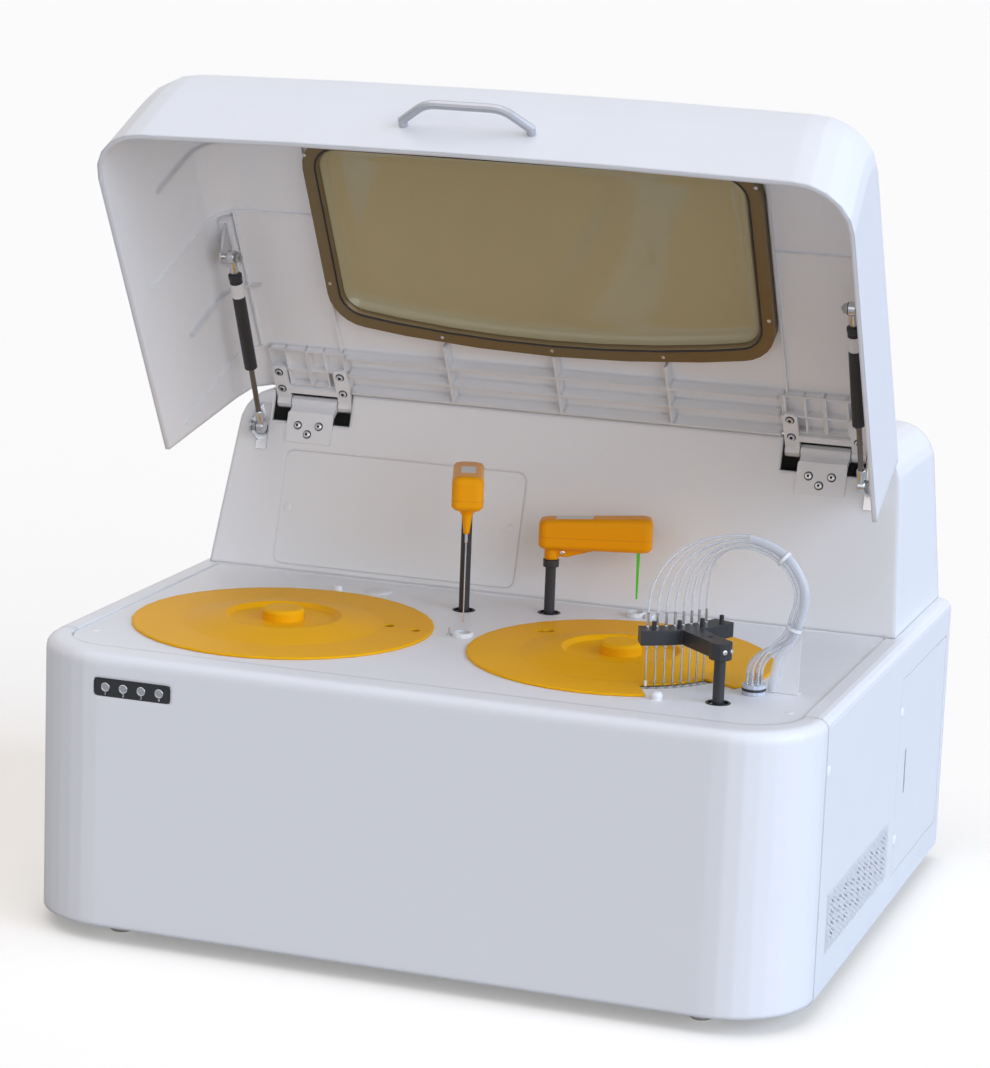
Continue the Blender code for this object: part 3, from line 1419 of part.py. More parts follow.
def disc_cover(name, centre):
    """A dished cover with a raised ridge round a recess, and a knob in its middle."""
    seat = DECK_Z + GAP
    rim = seat + COVER_RIM
    ridge = DECK_Z + COVER_RIDGE_RISE
    floor = DECK_Z + COVER_RECESS_RISE
    knob = floor + KNOB_HEIGHT
    flat = rim + COVER_RIM / 2
    profile = [
        (0.0, floor - COVER_THICKNESS),
        (COVER_RECESS_RADIUS - COVER_THICKNESS, floor - COVER_THICKNESS),
        (COVER_RIDGE_RADIUS, ridge - COVER_THICKNESS * 3 / 2),
        (COVER_FLAT_RADIUS, seat),
        (COVER_RADIUS, seat),
        (COVER_RADIUS, rim),
        (COVER_RADIUS - COVER_RIM, flat),
        (COVER_FLAT_RADIUS, flat),
        (COVER_RIDGE_RADIUS, ridge),
        (COVER_RECESS_RADIUS, floor),
        (KNOB_RADIUS, floor),
        (KNOB_RADIUS, knob - KNOB_EDGE),
        (KNOB_RADIUS - KNOB_EDGE, knob),
        (0.0, knob),
    ]
    return turned(name, profile, centre, ROUND)


def meeting_point(centre_a, radius_a, centre_b, radius_b):
    """Where two circles cross in plan: the crossing nearer the front."""
    across = Vector(centre_b) - Vector(centre_a)
    distance = across.length
    along = (radius_a**2 - radius_b**2 + distance**2) / (2 * distance)
    rise = math.sqrt(max(radius_a**2 - along**2, 0.0))
    middle = Vector(centre_a) + across * (along / distance)
    square = Vector((across.y, -across.x)) / distance
    first = middle + square * rise
    second = middle - square * rise
    return min((tuple(first), tuple(second)), key=lambda point: point[1])


def reagent_cover():
    """Two holes let the sample needle reach both rings of bottles."""
    cover = disc_cover("reagent_cover", (REAGENT_X, REAGENT_Y))
    ends = (DECK_Z, DECK_Z + COVER_RIDGE_RISE)
    for ring in (REAGENT_OUTER_RADIUS, REAGENT_INNER_RADIUS):
        place = meeting_point((REAGENT_X, REAGENT_Y), ring, (SAMPLE_X, SAMPLE_Y), SAMPLE_ARM_LENGTH)
        cut(cover, through("hole", place, COVER_HOLE_RADIUS, SMALL, *ends))
    finish(cover, "yellow")
    return set_origin(cover, (REAGENT_X, REAGENT_Y, DECK_Z))


def reaction_cover():
    """A notch leaves the cuvettes under the wash station open."""
    cover = disc_cover("reaction_cover", (REACTION_X, REACTION_Y))
    low = DECK_Z - OVERRUN
    high = DECK_Z + COVER_RIDGE_RISE + OVERRUN
    centre = (REACTION_X, REACTION_Y)
    inner = arc(centre, NOTCH_INNER_RADIUS, NOTCH_START_ANGLE, NOTCH_END_ANGLE, 10)
    outer = arc(centre, COVER_RADIUS * 3 / 2, NOTCH_END_ANGLE, NOTCH_START_ANGLE, 4)
    cut(cover, prism("notch", inner + outer, low, high))
    place = meeting_point((SAMPLE_X, SAMPLE_Y), SAMPLE_ARM_LENGTH, centre, CUVETTE_RING_RADIUS)
    place = max(place, crossing_at_back(centre), key=lambda point: point[1])
    for spot in (place, cuvette_place(MIXING_CUVETTE)):
        ends = (DECK_Z, DECK_Z + COVER_RIDGE_RISE)
        cut(cover, through("hole", spot, COVER_HOLE_RADIUS, SMALL, *ends))
    finish(cover, "yellow")
    return set_origin(cover, (REACTION_X, REACTION_Y, DECK_Z))


def crossing_at_back(centre):
    """The crossing of needle circle and cuvette ring that lies nearer the back."""
    front = Vector(meeting_point((SAMPLE_X, SAMPLE_Y), SAMPLE_ARM_LENGTH, centre, CUVETTE_RING_RADIUS))
    axis = (Vector(centre) - Vector((SAMPLE_X, SAMPLE_Y))).normalized()
    start = Vector((SAMPLE_X, SAMPLE_Y))
    along = start + axis * axis.dot(front - start)
    return tuple(along * 2 - front)


def carousel(name, centre, outer_radius, inner_radius, height):
    """A ring on a thin web, with a hub and a shaft down through the plate."""
    top = CAROUSEL_TOP_Z
    low = top - height
    web = low + CAROUSEL_WEB
    shaft_low = MECHANISM_TOP_Z - SHAFT_TAIL
    profile = [
        (SHAFT_RADIUS, low),
        (outer_radius, low),
        (outer_radius, top),
        (inner_radius, top),
        (inner_radius, web),
    ]
    disc = turned(name, profile, centre, ROUND)
    return join(disc, rod("shaft", (*centre, shaft_low), (*centre, top), SHAFT_RADIUS, SMALL))


def reagent_carousel():
    """Two rings of bottle pockets."""
    centre = (REAGENT_X, REAGENT_Y)
    outer = REAGENT_HOLE_RADIUS - BOWL_CLEARANCE
    inner = REAGENT_INNER_RADIUS - POCKET_LENGTH / 2 - POCKET_MARGIN
    disc = carousel("reagent_carousel", centre, outer, inner, REAGENT_DISC_HEIGHT)
    top = CAROUSEL_TOP_Z
    tools = bmesh.new()
    for ring, count in ((REAGENT_OUTER_RADIUS, OUTER_POCKETS), (REAGENT_INNER_RADIUS, INNER_POCKETS)):
        near = ring - POCKET_LENGTH / 2 + (POCKET_WALL if ring == REAGENT_OUTER_RADIUS else 0.0)
        far = min(ring + POCKET_LENGTH / 2, outer - POCKET_WALL)
        for index in range(count):
            middle = math.tau * index / count
            near_turn = math.pi / count - POCKET_WALL / 2 / near
            far_turn = math.pi / count - POCKET_WALL / 2 / far
            corners = [
                polar(*centre, near, middle - near_turn),
                polar(*centre, far, middle - far_turn),
                polar(*centre, far, middle + far_turn),
                polar(*centre, near, middle + near_turn),
            ]
            add_box(tools, corners, top - POCKET_DEPTH, top + OVERRUN)
    cut(disc, new_piece("pockets", tools))
    return set_origin(finish(disc, "zinc"), (*centre, CAROUSEL_TOP_Z))


def add_box(shape, corners, low, high):
    """Add an upright four-sided solid to a bmesh."""
    rows = [[shape.verts.new((x, y, z)) for x, y in corners] for z in (low, high)]
    for index in range(4):
        other = (index + 1) % 4
        shape.faces.new((rows[0][index], rows[0][other], rows[1][other], rows[1][index]))
    shape.faces.new(rows[0][::-1])
    shape.faces.new(rows[1])


def reaction_carousel():
    """A ring of square cuvettes that line up with the wash probes."""
    centre = (REACTION_X, REACTION_Y)
    outer = CUVETTE_RING_RADIUS + CUVETTE_RING_HALF
    inner = CUVETTE_RING_RADIUS - CUVETTE_RING_HALF
    disc = carousel("reaction_carousel", centre, outer, inner, REACTION_DISC_HEIGHT)
    half = CUVETTE_WIDTH / 2
    tools = bmesh.new()
    for index in range(CUVETTE_COUNT):
        angle = PROBE_FIRST_ANGLE + math.tau * index / CUVETTE_COUNT
        corners = []
        for radial, side in ((-half, -half), (half, -half), (half, half), (-half, half)):
            x = (CUVETTE_RING_RADIUS + radial) * math.cos(angle) - side * math.sin(angle)
            y = (CUVETTE_RING_RADIUS + radial) * math.sin(angle) + side * math.cos(angle)
            corners.append((centre[0] + x, centre[1] + y))
        add_box(tools, corners, CAROUSEL_TOP_Z - CUVETTE_DEPTH, CAROUSEL_TOP_Z + OVERRUN)
    cut(disc, new_piece("cuvettes", tools))
    return set_origin(finish(disc, "cuvette"), (*centre, CAROUSEL_TOP_Z))


def bowl(name, centre, inner_radius):
    """A flanged bowl under the deck, standing on the mechanism plate."""
    low = MECHANISM_TOP_Z + GAP
    top = BOWL_TOP_Z
    outer = inner_radius + BOWL_WALL
    profile = [
        (SHAFT_RADIUS + TURN_GAP, low),
        (outer, low),
        (outer, top - BOWL_WALL),
        (outer + BOWL_FLANGE, top - BOWL_WALL),
        (outer + BOWL_FLANGE, top),
        (inner_radius, top),
        (inner_radius, low + BOWL_FLOOR),
        (SHAFT_RADIUS + TURN_GAP, low + BOWL_FLOOR),
    ]
    return finish(turned(name, profile, centre, FINE, hollow=True), "zinc")


def mechanism_plate():
    """The inner plate on four posts, with a long bush for each column."""
    top = MECHANISM_TOP_Z
    low = top - MECHANISM_THICKNESS
    half_x = HALF_WIDTH - MECHANISM_INSET
    rear = HALF_DEPTH - MECHANISM_INSET
    front = SEAM_Y - MECHANISM_INSET
    corners = [(-half_x, front, POST_INSET), (half_x, front, POST_INSET),
               (half_x, rear, POST_RADIUS), (-half_x, rear, POST_RADIUS)]
    plate = prism("mechanism_plate", rounded(corners, 4), low, top)
    for place in column_places():
        bush = rod("bush", (*place, low - BUSH_HEIGHT), (*place, top + BUSH_HEIGHT), BUSH_RADIUS, TINY)
        join(plate, bush)
    for side in (-1, 1):
        for y in (front + POST_INSET, rear - POST_INSET):
            x = side * (half_x - POST_INSET)
            start = (x, y, TRAY_THICKNESS + GAP)
            join(plate, rod("post", start, (x, y, low + MECHANISM_THICKNESS / 2), POST_RADIUS, TINY))
    for place in column_places():
        ends = (low - BUSH_HEIGHT, top + BUSH_HEIGHT)
        cut(plate, through("bore", place, COLUMN_RADIUS + GAP, SMALL, *ends))
    for place in ((REAGENT_X, REAGENT_Y), (REACTION_X, REACTION_Y)):
        cut(plate, through("bore", place, SHAFT_RADIUS + TURN_GAP, MEDIUM, low, top))
    return finish(plate, "zinc")


def column(name, place, top):
    """A plain guide column from under the plate's bush up to an arm."""
    low = COLUMN_LOW_Z
    pillar = rod(name, (*place, low), (*place, top), COLUMN_RADIUS, SMALL)
    return pillar


def arm_body(name, place, angle, reach, low, root, tip):
    """A long rounded housing whose top rises from the column to the tip."""
    half = ARM_BODY_WIDTH / 2
    start = -ARM_BODY_END
    end = reach + ARM_BODY_END
    edge = half / 5
    rings = []
    for height_share, inset_share in ((0, 1), (0.1, 0), (0.82, 0), (0.95, 0.7), (1, 2.2)):
        inset = edge * inset_share
        radius = half / 2 - inset / 2
        corners = [
            (start + inset, -half + inset, radius),
            (end - inset, -half + inset, radius),
            (end - inset, half - inset, radius),
            (start + inset, half - inset, radius),
        ]
        ring = []
        for along, across in rounded(corners, 4):
            height = mixed(root, tip, (along - start) / (end - start)) * height_share
            x = place[0] + along * math.cos(angle) - across * math.sin(angle)
            y = place[1] + along * math.sin(angle) + across * math.cos(angle)
            ring.append((x, y, low + height))
        rings.append(ring)
    return loft(name, rings)


def sample_column():
    pillar = column("sample_column", (SAMPLE_X, SAMPLE_Y), SAMPLE_ARM_Z + ARM_SOCKET - GAP)
    return set_origin(finish(pillar, "black"), (SAMPLE_X, SAMPLE_Y, DECK_Z))


def sample_arm():
    """The arm that carries the needle in a tapered nose."""
    place = (SAMPLE_X, SAMPLE_Y)
    tip = sample_cup_place()
    low = SAMPLE_ARM_Z
    reach = SAMPLE_ARM_LENGTH
    arm = arm_body("sample_arm", place, SAMPLE_ANGLE, reach, low, SAMPLE_ARM_ROOT, SAMPLE_ARM_TIP)
    profile = [
        (0.0, low - NOSE_SHOULDER - NOSE_LENGTH),
        (NOSE_TIP_RADIUS, low - NOSE_SHOULDER - NOSE_LENGTH),
        (NOSE_RADIUS, low - NOSE_SHOULDER),
        (NOSE_TOP_RADIUS, low + NOSE_SHOULDER / 2),
        (0.0, low + NOSE_SHOULDER / 2),
    ]
    join(arm, turned("nose", profile, tip, SMALL))
    socket = rod("socket", (*place, low - OVERRUN), (*place, low + ARM_SOCKET), COLUMN_RADIUS + GAP, SMALL)
    nose_low = low - NOSE_SHOULDER - NOSE_LENGTH
    grip = (*tip, nose_low + PROBE_GRIP + GAP)
    bore = rod("bore", (*tip, nose_low - OVERRUN), grip, PROBE_NOZZLE_RADIUS + GAP, SMALL)
    cut(arm, socket, bore)
    return set_origin(finish(arm, "orange"), (*place, low))


def sample_probe():
    tip = sample_cup_place()
    nose_low = SAMPLE_ARM_Z - NOSE_SHOULDER - NOSE_LENGTH
    nozzle_low = nose_low - PROBE_NOZZLE
    profile = [
        (0.0, NEEDLE_TIP_Z),
        (NEEDLE_RADIUS, NEEDLE_TIP_Z),
        (NEEDLE_RADIUS, nozzle_low - NEEDLE_RADIUS * 2),
        (PROBE_NOZZLE_RADIUS, nozzle_low),
        (PROBE_NOZZLE_RADIUS, nose_low + PROBE_GRIP),
        (0.0, nose_low + PROBE_GRIP),
    ]
    probe = turned("sample_probe", profile, tip, SMALL)
    return set_origin(finish(probe, "steel"), (SAMPLE_X, SAMPLE_Y, SAMPLE_ARM_Z))


def mixer_column():
    """A column with a collar; its thin pivot runs up inside the arm's hub."""
    place = (MIXER_X, MIXER_Y)
    hub_low = MIXER_ARM_Z - MIXER_HUB
    low = COLUMN_LOW_Z
    profile = [
        (0.0, low),
        (COLUMN_RADIUS, low),
        (COLUMN_RADIUS, hub_low - GAP - MIXER_COLLAR),
        (MIXER_COLLAR_RADIUS, hub_low - GAP - MIXER_COLLAR),
        (MIXER_COLLAR_RADIUS, hub_low - GAP),
        (MIXER_PIVOT_RADIUS, hub_low - GAP),
        (MIXER_PIVOT_RADIUS, hub_low + MIXER_PIVOT - GAP),
        (0.0, hub_low + MIXER_PIVOT - GAP),
    ]
    pillar = turned("mixer_column", profile, place, SMALL)
    return set_origin(finish(pillar, "black"), (*place, DECK_Z))


def mixer_arm():
    place = (MIXER_X, MIXER_Y)
    low = MIXER_ARM_Z
    hub_low = low - MIXER_HUB
    reach = mixer_reach()
    arm = arm_body("mixer_arm", place, MIXER_ANGLE, reach, low, MIXER_ARM_ROOT, MIXER_ARM_TIP)
    overlap = low + ARM_SOCKET / 3
    join(arm, rod("hub", (*place, hub_low), (*place, overlap), MIXER_HUB_RADIUS, MEDIUM))
    reach = MIXER_HUB_RADIUS * 5 / 2
    outline = [(0.0, hub_low + MIXER_HUB / 4), (reach, low + GAP), (reach, overlap), (0.0, overlap)]
    half = MIXER_HUB_RADIUS / 2
    rings = []
    for across in (-half, half):
        ring = []
        for along, z in outline:
            x = place[0] + along * math.cos(MIXER_ANGLE) - across * math.sin(MIXER_ANGLE)
            y = place[1] + along * math.sin(MIXER_ANGLE) + across * math.cos(MIXER_ANGLE)
            ring.append((x, y, z))
        rings.append(ring)
    join(arm, loft("web", rings))
    start = (*place, hub_low - OVERRUN)
    pivot = rod("socket", start, (*place, hub_low + MIXER_PIVOT), MIXER_PIVOT_RADIUS + GAP, SMALL)
    tip = mixer_cup_place()
    grip = (*tip, low + PADDLE_GRIP + GAP)
    hole = rod("hole", (*tip, low - OVERRUN), grip, PADDLE_SHANK_RADIUS + GAP, SMALL)
    cut(arm, pivot, hole)
    return set_origin(finish(arm, "orange"), (*place, hub_low))


def mixer_paddle():
    """A flat tapered blade on a short round shank."""
    tip = mixer_cup_place()
    top = MIXER_ARM_Z - PADDLE_SHANK_RADIUS
    half = PADDLE_THICKNESS / 2
    rings = []
    for z, width in ((PADDLE_TIP_Z, PADDLE_TIP_WIDTH), (top, PADDLE_WIDTH)):
        reach = width / 2
        ring = [(tip[0] - reach, tip[1] - half, z), (tip[0] + reach, tip[1] - half, z),
                (tip[0] + reach, tip[1] + half, z), (tip[0] - reach, tip[1] + half, z)]
        rings.append(ring)
    paddle = loft("mixer_paddle", rings)
    start = (*tip, top - PADDLE_WIDTH)
    join(paddle, rod("shank", start, (*tip, MIXER_ARM_Z + PADDLE_GRIP), PADDLE_SHANK_RADIUS, TINY))
    return set_origin(finish(paddle, "green"), (MIXER_X, MIXER_Y, MIXER_ARM_Z))


def wash_column():
    top = WASH_TOP_Z - WASH_CLAMP + WASH_SOCKET - GAP
    pillar = column("wash_column", (WASH_X, WASH_Y), top)
    return set_origin(finish(pillar, "black"), (WASH_X, WASH_Y, DECK_Z))


def wash_head():
    """A curved head on an arm, with its row of rinse probes."""
    centre = (REACTION_X, REACTION_Y)
    top = WASH_TOP_Z
    low = top - WASH_THICKNESS
    outline = arc(centre, WASH_OUTER_RADIUS, WASH_START_ANGLE, WASH_END_ANGLE, 12)
    outline += arc(centre, WASH_INNER_RADIUS, WASH_END_ANGLE, WASH_START_ANGLE, 12)
    head = prism("wash_head", outline, low, top)
    middle = Vector(polar(*centre, mixed(WASH_INNER_RADIUS, WASH_OUTER_RADIUS, 1 / 2), math.radians(-43)))
    post = Vector((WASH_X, WASH_Y))
    along = (post - middle).normalized()
    across = Vector((-along.y, along.x)) * WASH_ARM_HALF
    arm = [tuple(middle + across), tuple(middle - across), tuple(post - across), tuple(post + across)]
    join(head, prism("arm", arm, low, top))
    clamp_low = top - WASH_CLAMP
    join(head, rod("clamp", (*post, clamp_low), (*post, top), WASH_CLAMP_RADIUS, MEDIUM))
    for index in range(4):
        share = (index + 1 / 2) / 4
        place = polar(*centre, PEG_RING_RADIUS, mixed(WASH_START_ANGLE, WASH_END_ANGLE, share))
        start = (*place, top - WASH_THICKNESS / 2)
        join(head, rod("peg", start, (*place, top + PEG_HEIGHT), PEG_RADIUS, TINY))
    for index in range(PROBE_COUNT):
        profile = [
            (WASH_NEEDLE_RADIUS, WASH_TIP_Z),
            (WASH_NEEDLE_RADIUS, low - FERRULE_LENGTH - FERRULE_RADIUS),
            (FERRULE_RADIUS, low - FERRULE_LENGTH),
            (WASH_NOZZLE_RADIUS, top + WASH_NOZZLE),
        ]
        join(head, turned("probe", profile, cuvette_place(index), TINY))
    start = (*post, clamp_low - OVERRUN)
    socket_end = (*post, clamp_low + WASH_SOCKET)
    cut(head, rod("socket", start, socket_end, COLUMN_RADIUS + GAP, SMALL))
    return set_origin(finish(head, "black"), (WASH_X, WASH_Y, WASH_TOP_Z))


def nipple_place(index):
    """Nipples stand in a ring on the round tube fitting."""
    return polar(MANIFOLD_X, MANIFOLD_Y, MANIFOLD_RING_RADIUS, math.tau * index / PROBE_COUNT)


def wash_manifold():
    """A round fitting with a ring groove and a crown of nipples."""
    low = DECK_Z + GAP
    top = DECK_Z + MANIFOLD_HEIGHT
    third = MANIFOLD_HEIGHT / 3
    profile = [
        (0.0, low),
        (MANIFOLD_RADIUS, low),
        (MANIFOLD_RADIUS, low + third),
        (MANIFOLD_RADIUS - MANIFOLD_GROOVE, low + third),
        (MANIFOLD_RADIUS - MANIFOLD_GROOVE, top - third),
        (MANIFOLD_RADIUS, top - third),
        (MANIFOLD_RADIUS, top),
        (0.0, top),
    ]
    fitting = turned("wash_manifold", profile, (MANIFOLD_X, MANIFOLD_Y), MEDIUM)
    for index in range(PROBE_COUNT):
        place = nipple_place(index)
        nipple = rod("nipple", (*place, top - third), (*place, top + NIPPLE_HEIGHT), NIPPLE_RADIUS, TINY)
        join(fitting, nipple)
    return finish(fitting, "zinc")


BUNDLE_ROUTE = (
    (0.283, 0.143),
    (0.320, 0.157),
    (0.357, 0.143),
    (0.377, 0.110),
    (0.371, 0.072),
    (0.352, 0.043),
)


def smooth_route(points, spacing):
    """Points at an even spacing on a smooth curve through the given points."""
    first = points[0] * 2 - points[1]
    last = points[-1] * 2 - points[-2]
    knots = [first, *points, last]
    fine = []
    for index in range(1, len(knots) - 2):
        a, b, c, d = knots[index - 1 : index + 3]
        for step in range(24):
            t = step / 24
            fine.append(
                (b * 2 + (c - a) * t + (a * 2 - b * 5 + c * 4 - d) * t**2
                 + (b * 3 - a - c * 3 + d) * t**3) / 2
            )
    fine.append(points[-1])
    length = sum((q - p).length for p, q in zip(fine, fine[1:]))
    count = max(2, round(length / spacing))
    route = [fine[0]]
    travelled = 0.0
    for p, q in zip(fine, fine[1:]):
        step = (q - p).length
        while len(route) < count and travelled + step >= length * len(route) / count:
            share = (length * len(route) / count - travelled) / step
            route.append(p.lerp(q, share))
        travelled += step
    route.append(fine[-1])
    return route


def tube(name, route, radius):
    """A round tube with filled ends along a route."""
    curve = bpy.data.curves.new(name, "CURVE")
    curve.dimensions = "3D"
    curve.bevel_depth = radius
    curve.bevel_resolution = 1
    curve.use_fill_caps = True
    spline = curve.splines.new("POLY")
    spline.points.add(len(route) - 1)
    for point, place in zip(spline.points, route):
        point.co = (*place, 1.0)
    guide = bpy.data.objects.new(name, curve)
    bpy.context.collection.objects.link(guide)
    bpy.context.view_layer.update()
    evaluated = guide.evaluated_get(bpy.context.evaluated_depsgraph_get())
    mesh = bpy.data.meshes.new_from_object(evaluated)
    bpy.data.objects.remove(guide)
    bpy.data.curves.remove(curve)
    shape = bmesh.new()
    shape.from_mesh(mesh)
    bpy.data.meshes.remove(mesh)
    bmesh.ops.remove_doubles(shape, verts=shape.verts, dist=GAP / 100)
    return new_piece(name, shape)


def bundle_centre(index):
    x, height = BUNDLE_ROUTE[index]
    return Vector((x, MANIFOLD_Y, CASE_HEIGHT + height))


def bundle_offset(station, index):
    """Where a tube lies in the bundle: four rows of two, the first tube outermost."""
    ahead = bundle_centre(min(station + 1, len(BUNDLE_ROUTE) - 1))
    behind = bundle_centre(max(station - 1, 0))
    heading = (ahead - behind).normalized()
    outward = Vector((-heading.z, 0.0, heading.x))
    row = (PROBE_COUNT - 2) / 4 - index // 2
    pitch = BUNDLE_RADIUS * 2 / 3
    return outward * (row * pitch) + Vector((0.0, (index % 2 - 1 / 2) * pitch, 0.0))


def wash_tubes():
    """Eight thin tubes from the head's nozzles to the fitting, held by two ties."""
    tubes = []
    for index in range(PROBE_COUNT):
        x, y = cuvette_place(index)
        nozzle = Vector((x, y, WASH_TOP_Z + WASH_NOZZLE + GAP))
        end_x, end_y = nipple_place(index)
        nipple = Vector((end_x, end_y, DECK_Z + MANIFOLD_HEIGHT + NIPPLE_HEIGHT + GAP))
        points = [nozzle + Vector((0.0, 0.0, NIPPLE_HEIGHT))]
        for station in range(len(BUNDLE_ROUTE)):
            points.append(bundle_centre(station) + bundle_offset(station, index))
        points.append(nipple + Vector((0.0, 0.0, NIPPLE_HEIGHT)))
        route = [nozzle, *smooth_route(points, TUBE_RADIUS * 8), nipple]
        tubes.append(tube("tube", route, TUBE_RADIUS))
    ties = []
    for station in (2, 4):
        centre = bundle_centre(station)
        heading = (bundle_centre(station + 1) - bundle_centre(station - 1)).normalized()
        half = heading * (TIE_WIDTH / 2)
        ties.append(rod("wash_tubes", centre - half, centre + half, TIE_RADIUS, SMALL))
    bundle = ties[0]
    join(bundle, tubes[0])
    join(bundle, ties[1], *tubes[1:])
    return finish(bundle, "tube")


def tube_bracket():
    """A bent triangular sheet that stands behind the tubes on a screwed foot."""
    low = DECK_Z + GAP
    left = Vector((MANIFOLD_X + BRACKET_REACH, MANIFOLD_Y + BRACKET_BACK, low))
    right = left + Vector((BRACKET_LENGTH, -BRACKET_SHEET, 0.0))
    rise = Vector((0.0, 0.0, BRACKET_HEIGHT))
    shift = Vector((0.0, BRACKET_SHEET / 2, 0.0))
    corners = [left, right, right + rise, left + (right - left) * (2 / 3) + rise]
    sheet = loft("tube_bracket", [corners, [corner + shift for corner in corners]])
    deep = Vector((0.0, BRACKET_FOOT, 0.0))
    up = Vector((0.0, 0.0, BRACKET_SHEET / 2))
    foot_corners = [left, right, right + deep, left + deep]
    join(sheet, loft("foot", [foot_corners, [corner + up for corner in foot_corners]]))
    return finish(sheet, "shell")


def photometer():
    low = MECHANISM_TOP_Z + GAP
    flange = REACTION_HOLE_RADIUS + BOWL_WALL + BOWL_FLANGE + TURN_GAP
    front = REACTION_Y + flange
    unit = block(
        "photometer",
        (REACTION_X, front, low),
        (REACTION_X + PHOTOMETER_WIDTH, front + PHOTOMETER_DEPTH, low + PHOTOMETER_HEIGHT),
    )
    return finish(unit, "black")


def power_supply():
    low = TRAY_THICKNESS + GAP
    half_x = SUPPLY_WIDTH / 2
    half_y = SUPPLY_DEPTH / 2
    box = block(
        "power_supply",
        (SUPPLY_X - half_x, SUPPLY_Y - half_y, low),
        (SUPPLY_X + half_x, SUPPLY_Y + half_y, low + SUPPLY_HEIGHT),
    )
    return finish(box, "zinc")


def syringe_pump():
    """Two glass syringes on a motor block, reached through the side door."""
    low = TRAY_THICKNESS + GAP
    half_x = PUMP_WIDTH / 2
    half_y = PUMP_DEPTH / 2
    pump = block(
        "syringe_pump",
        (PUMP_X - half_x, PUMP_Y - half_y, low),
        (PUMP_X + half_x, PUMP_Y + half_y, low + PUMP_HEIGHT),
    )
    top = low + PUMP_HEIGHT
    for side in (-1, 1):
        y = PUMP_Y + side * half_y / 2
        start = (PUMP_X, y, top - SYRINGE_RADIUS)
        join(pump, rod("syringe", start, (PUMP_X, y, top + SYRINGE_HEIGHT), SYRINGE_RADIUS, SMALL))
    return finish(pump, "cup")


def rocker_axis():
    z = INLET_Z + INLET_HEIGHT / 4
    return (INLET_X, HALF_DEPTH - CASE_WALL - GAP - ROCKER_DEPTH / 4, z)


def power_inlet():
    """The mains inlet behind its window: a socket below and the switch's pocket above."""
    face = HALF_DEPTH - CASE_WALL - GAP
    half_x = INLET_WIDTH / 2
    half_z = INLET_HEIGHT / 2
    inlet = block(
        "power_inlet",
        (INLET_X - half_x, face - INLET_DEPTH, INLET_Z - half_z),
        (INLET_X + half_x, face, INLET_Z + half_z),
    )
    reach_x = half_x + INLET_FLANGE
    reach_z = half_z + INLET_FLANGE
    low = (INLET_X - reach_x, face - INLET_FLANGE, INLET_Z - reach_z)
    join(inlet, block("flange", low, (INLET_X + reach_x, face - GAP, INLET_Z + reach_z)))
    socket_z = INLET_Z - INLET_HEIGHT / 4
    socket = block(
        "socket",
        (INLET_X - SOCKET_WIDTH / 2, face - SOCKET_DEPTH, socket_z - SOCKET_HEIGHT / 2),
        (INLET_X + SOCKET_WIDTH / 2, face + OVERRUN, socket_z + SOCKET_HEIGHT / 2),
    )
    _, axis_y, axis_z = rocker_axis()
    half_width = ROCKER_WIDTH / 2 + GAP
    half_height = ROCKER_HEIGHT / 2 + TURN_GAP
    pocket = block(
        "pocket",
        (INLET_X - half_width, face - ROCKER_DEPTH - TURN_GAP * 2, axis_z - half_height),
        (INLET_X + half_width, face + OVERRUN, axis_z + half_height),
    )
    pin_reach = half_width + ROCKER_RISE
    start = (INLET_X - pin_reach, axis_y, axis_z)
    end = (INLET_X + pin_reach, axis_y, axis_z)
    radius = PIN_RADIUS / 3
    cut(inlet, socket, pocket, rod("bore", start, end, radius + GAP, TINY))
    return finish(inlet, "black")


def power_switch():
    """A rocker, tipped to its on side, on two small pins."""
    x, axis_y, axis_z = rocker_axis()
    face = HALF_DEPTH - CASE_WALL - GAP
    half = ROCKER_HEIGHT / 2
    outline = [
        (face - ROCKER_DEPTH, axis_z - half),
        (face + ROCKER_RISE / 2, axis_z - half),
        (face, axis_z),
        (face + ROCKER_RISE / 2, axis_z + half),
        (face - ROCKER_DEPTH, axis_z + half),
    ]
    rocker = side_prism("power_switch", outline, x - ROCKER_WIDTH / 2, x + ROCKER_WIDTH / 2)
    pin_reach = ROCKER_WIDTH / 2 + ROCKER_RISE * 3 / 4
    start = (x - pin_reach, axis_y, axis_z)
    join(rocker, rod("pin", start, (x + pin_reach, axis_y, axis_z), PIN_RADIUS / 3, TINY))
    set_origin(rocker, (x, axis_y, axis_z))
    rocker.data.transform(Matrix.Rotation(ROCKER_ANGLE, 4, "X"))
    return finish(rocker, "black")


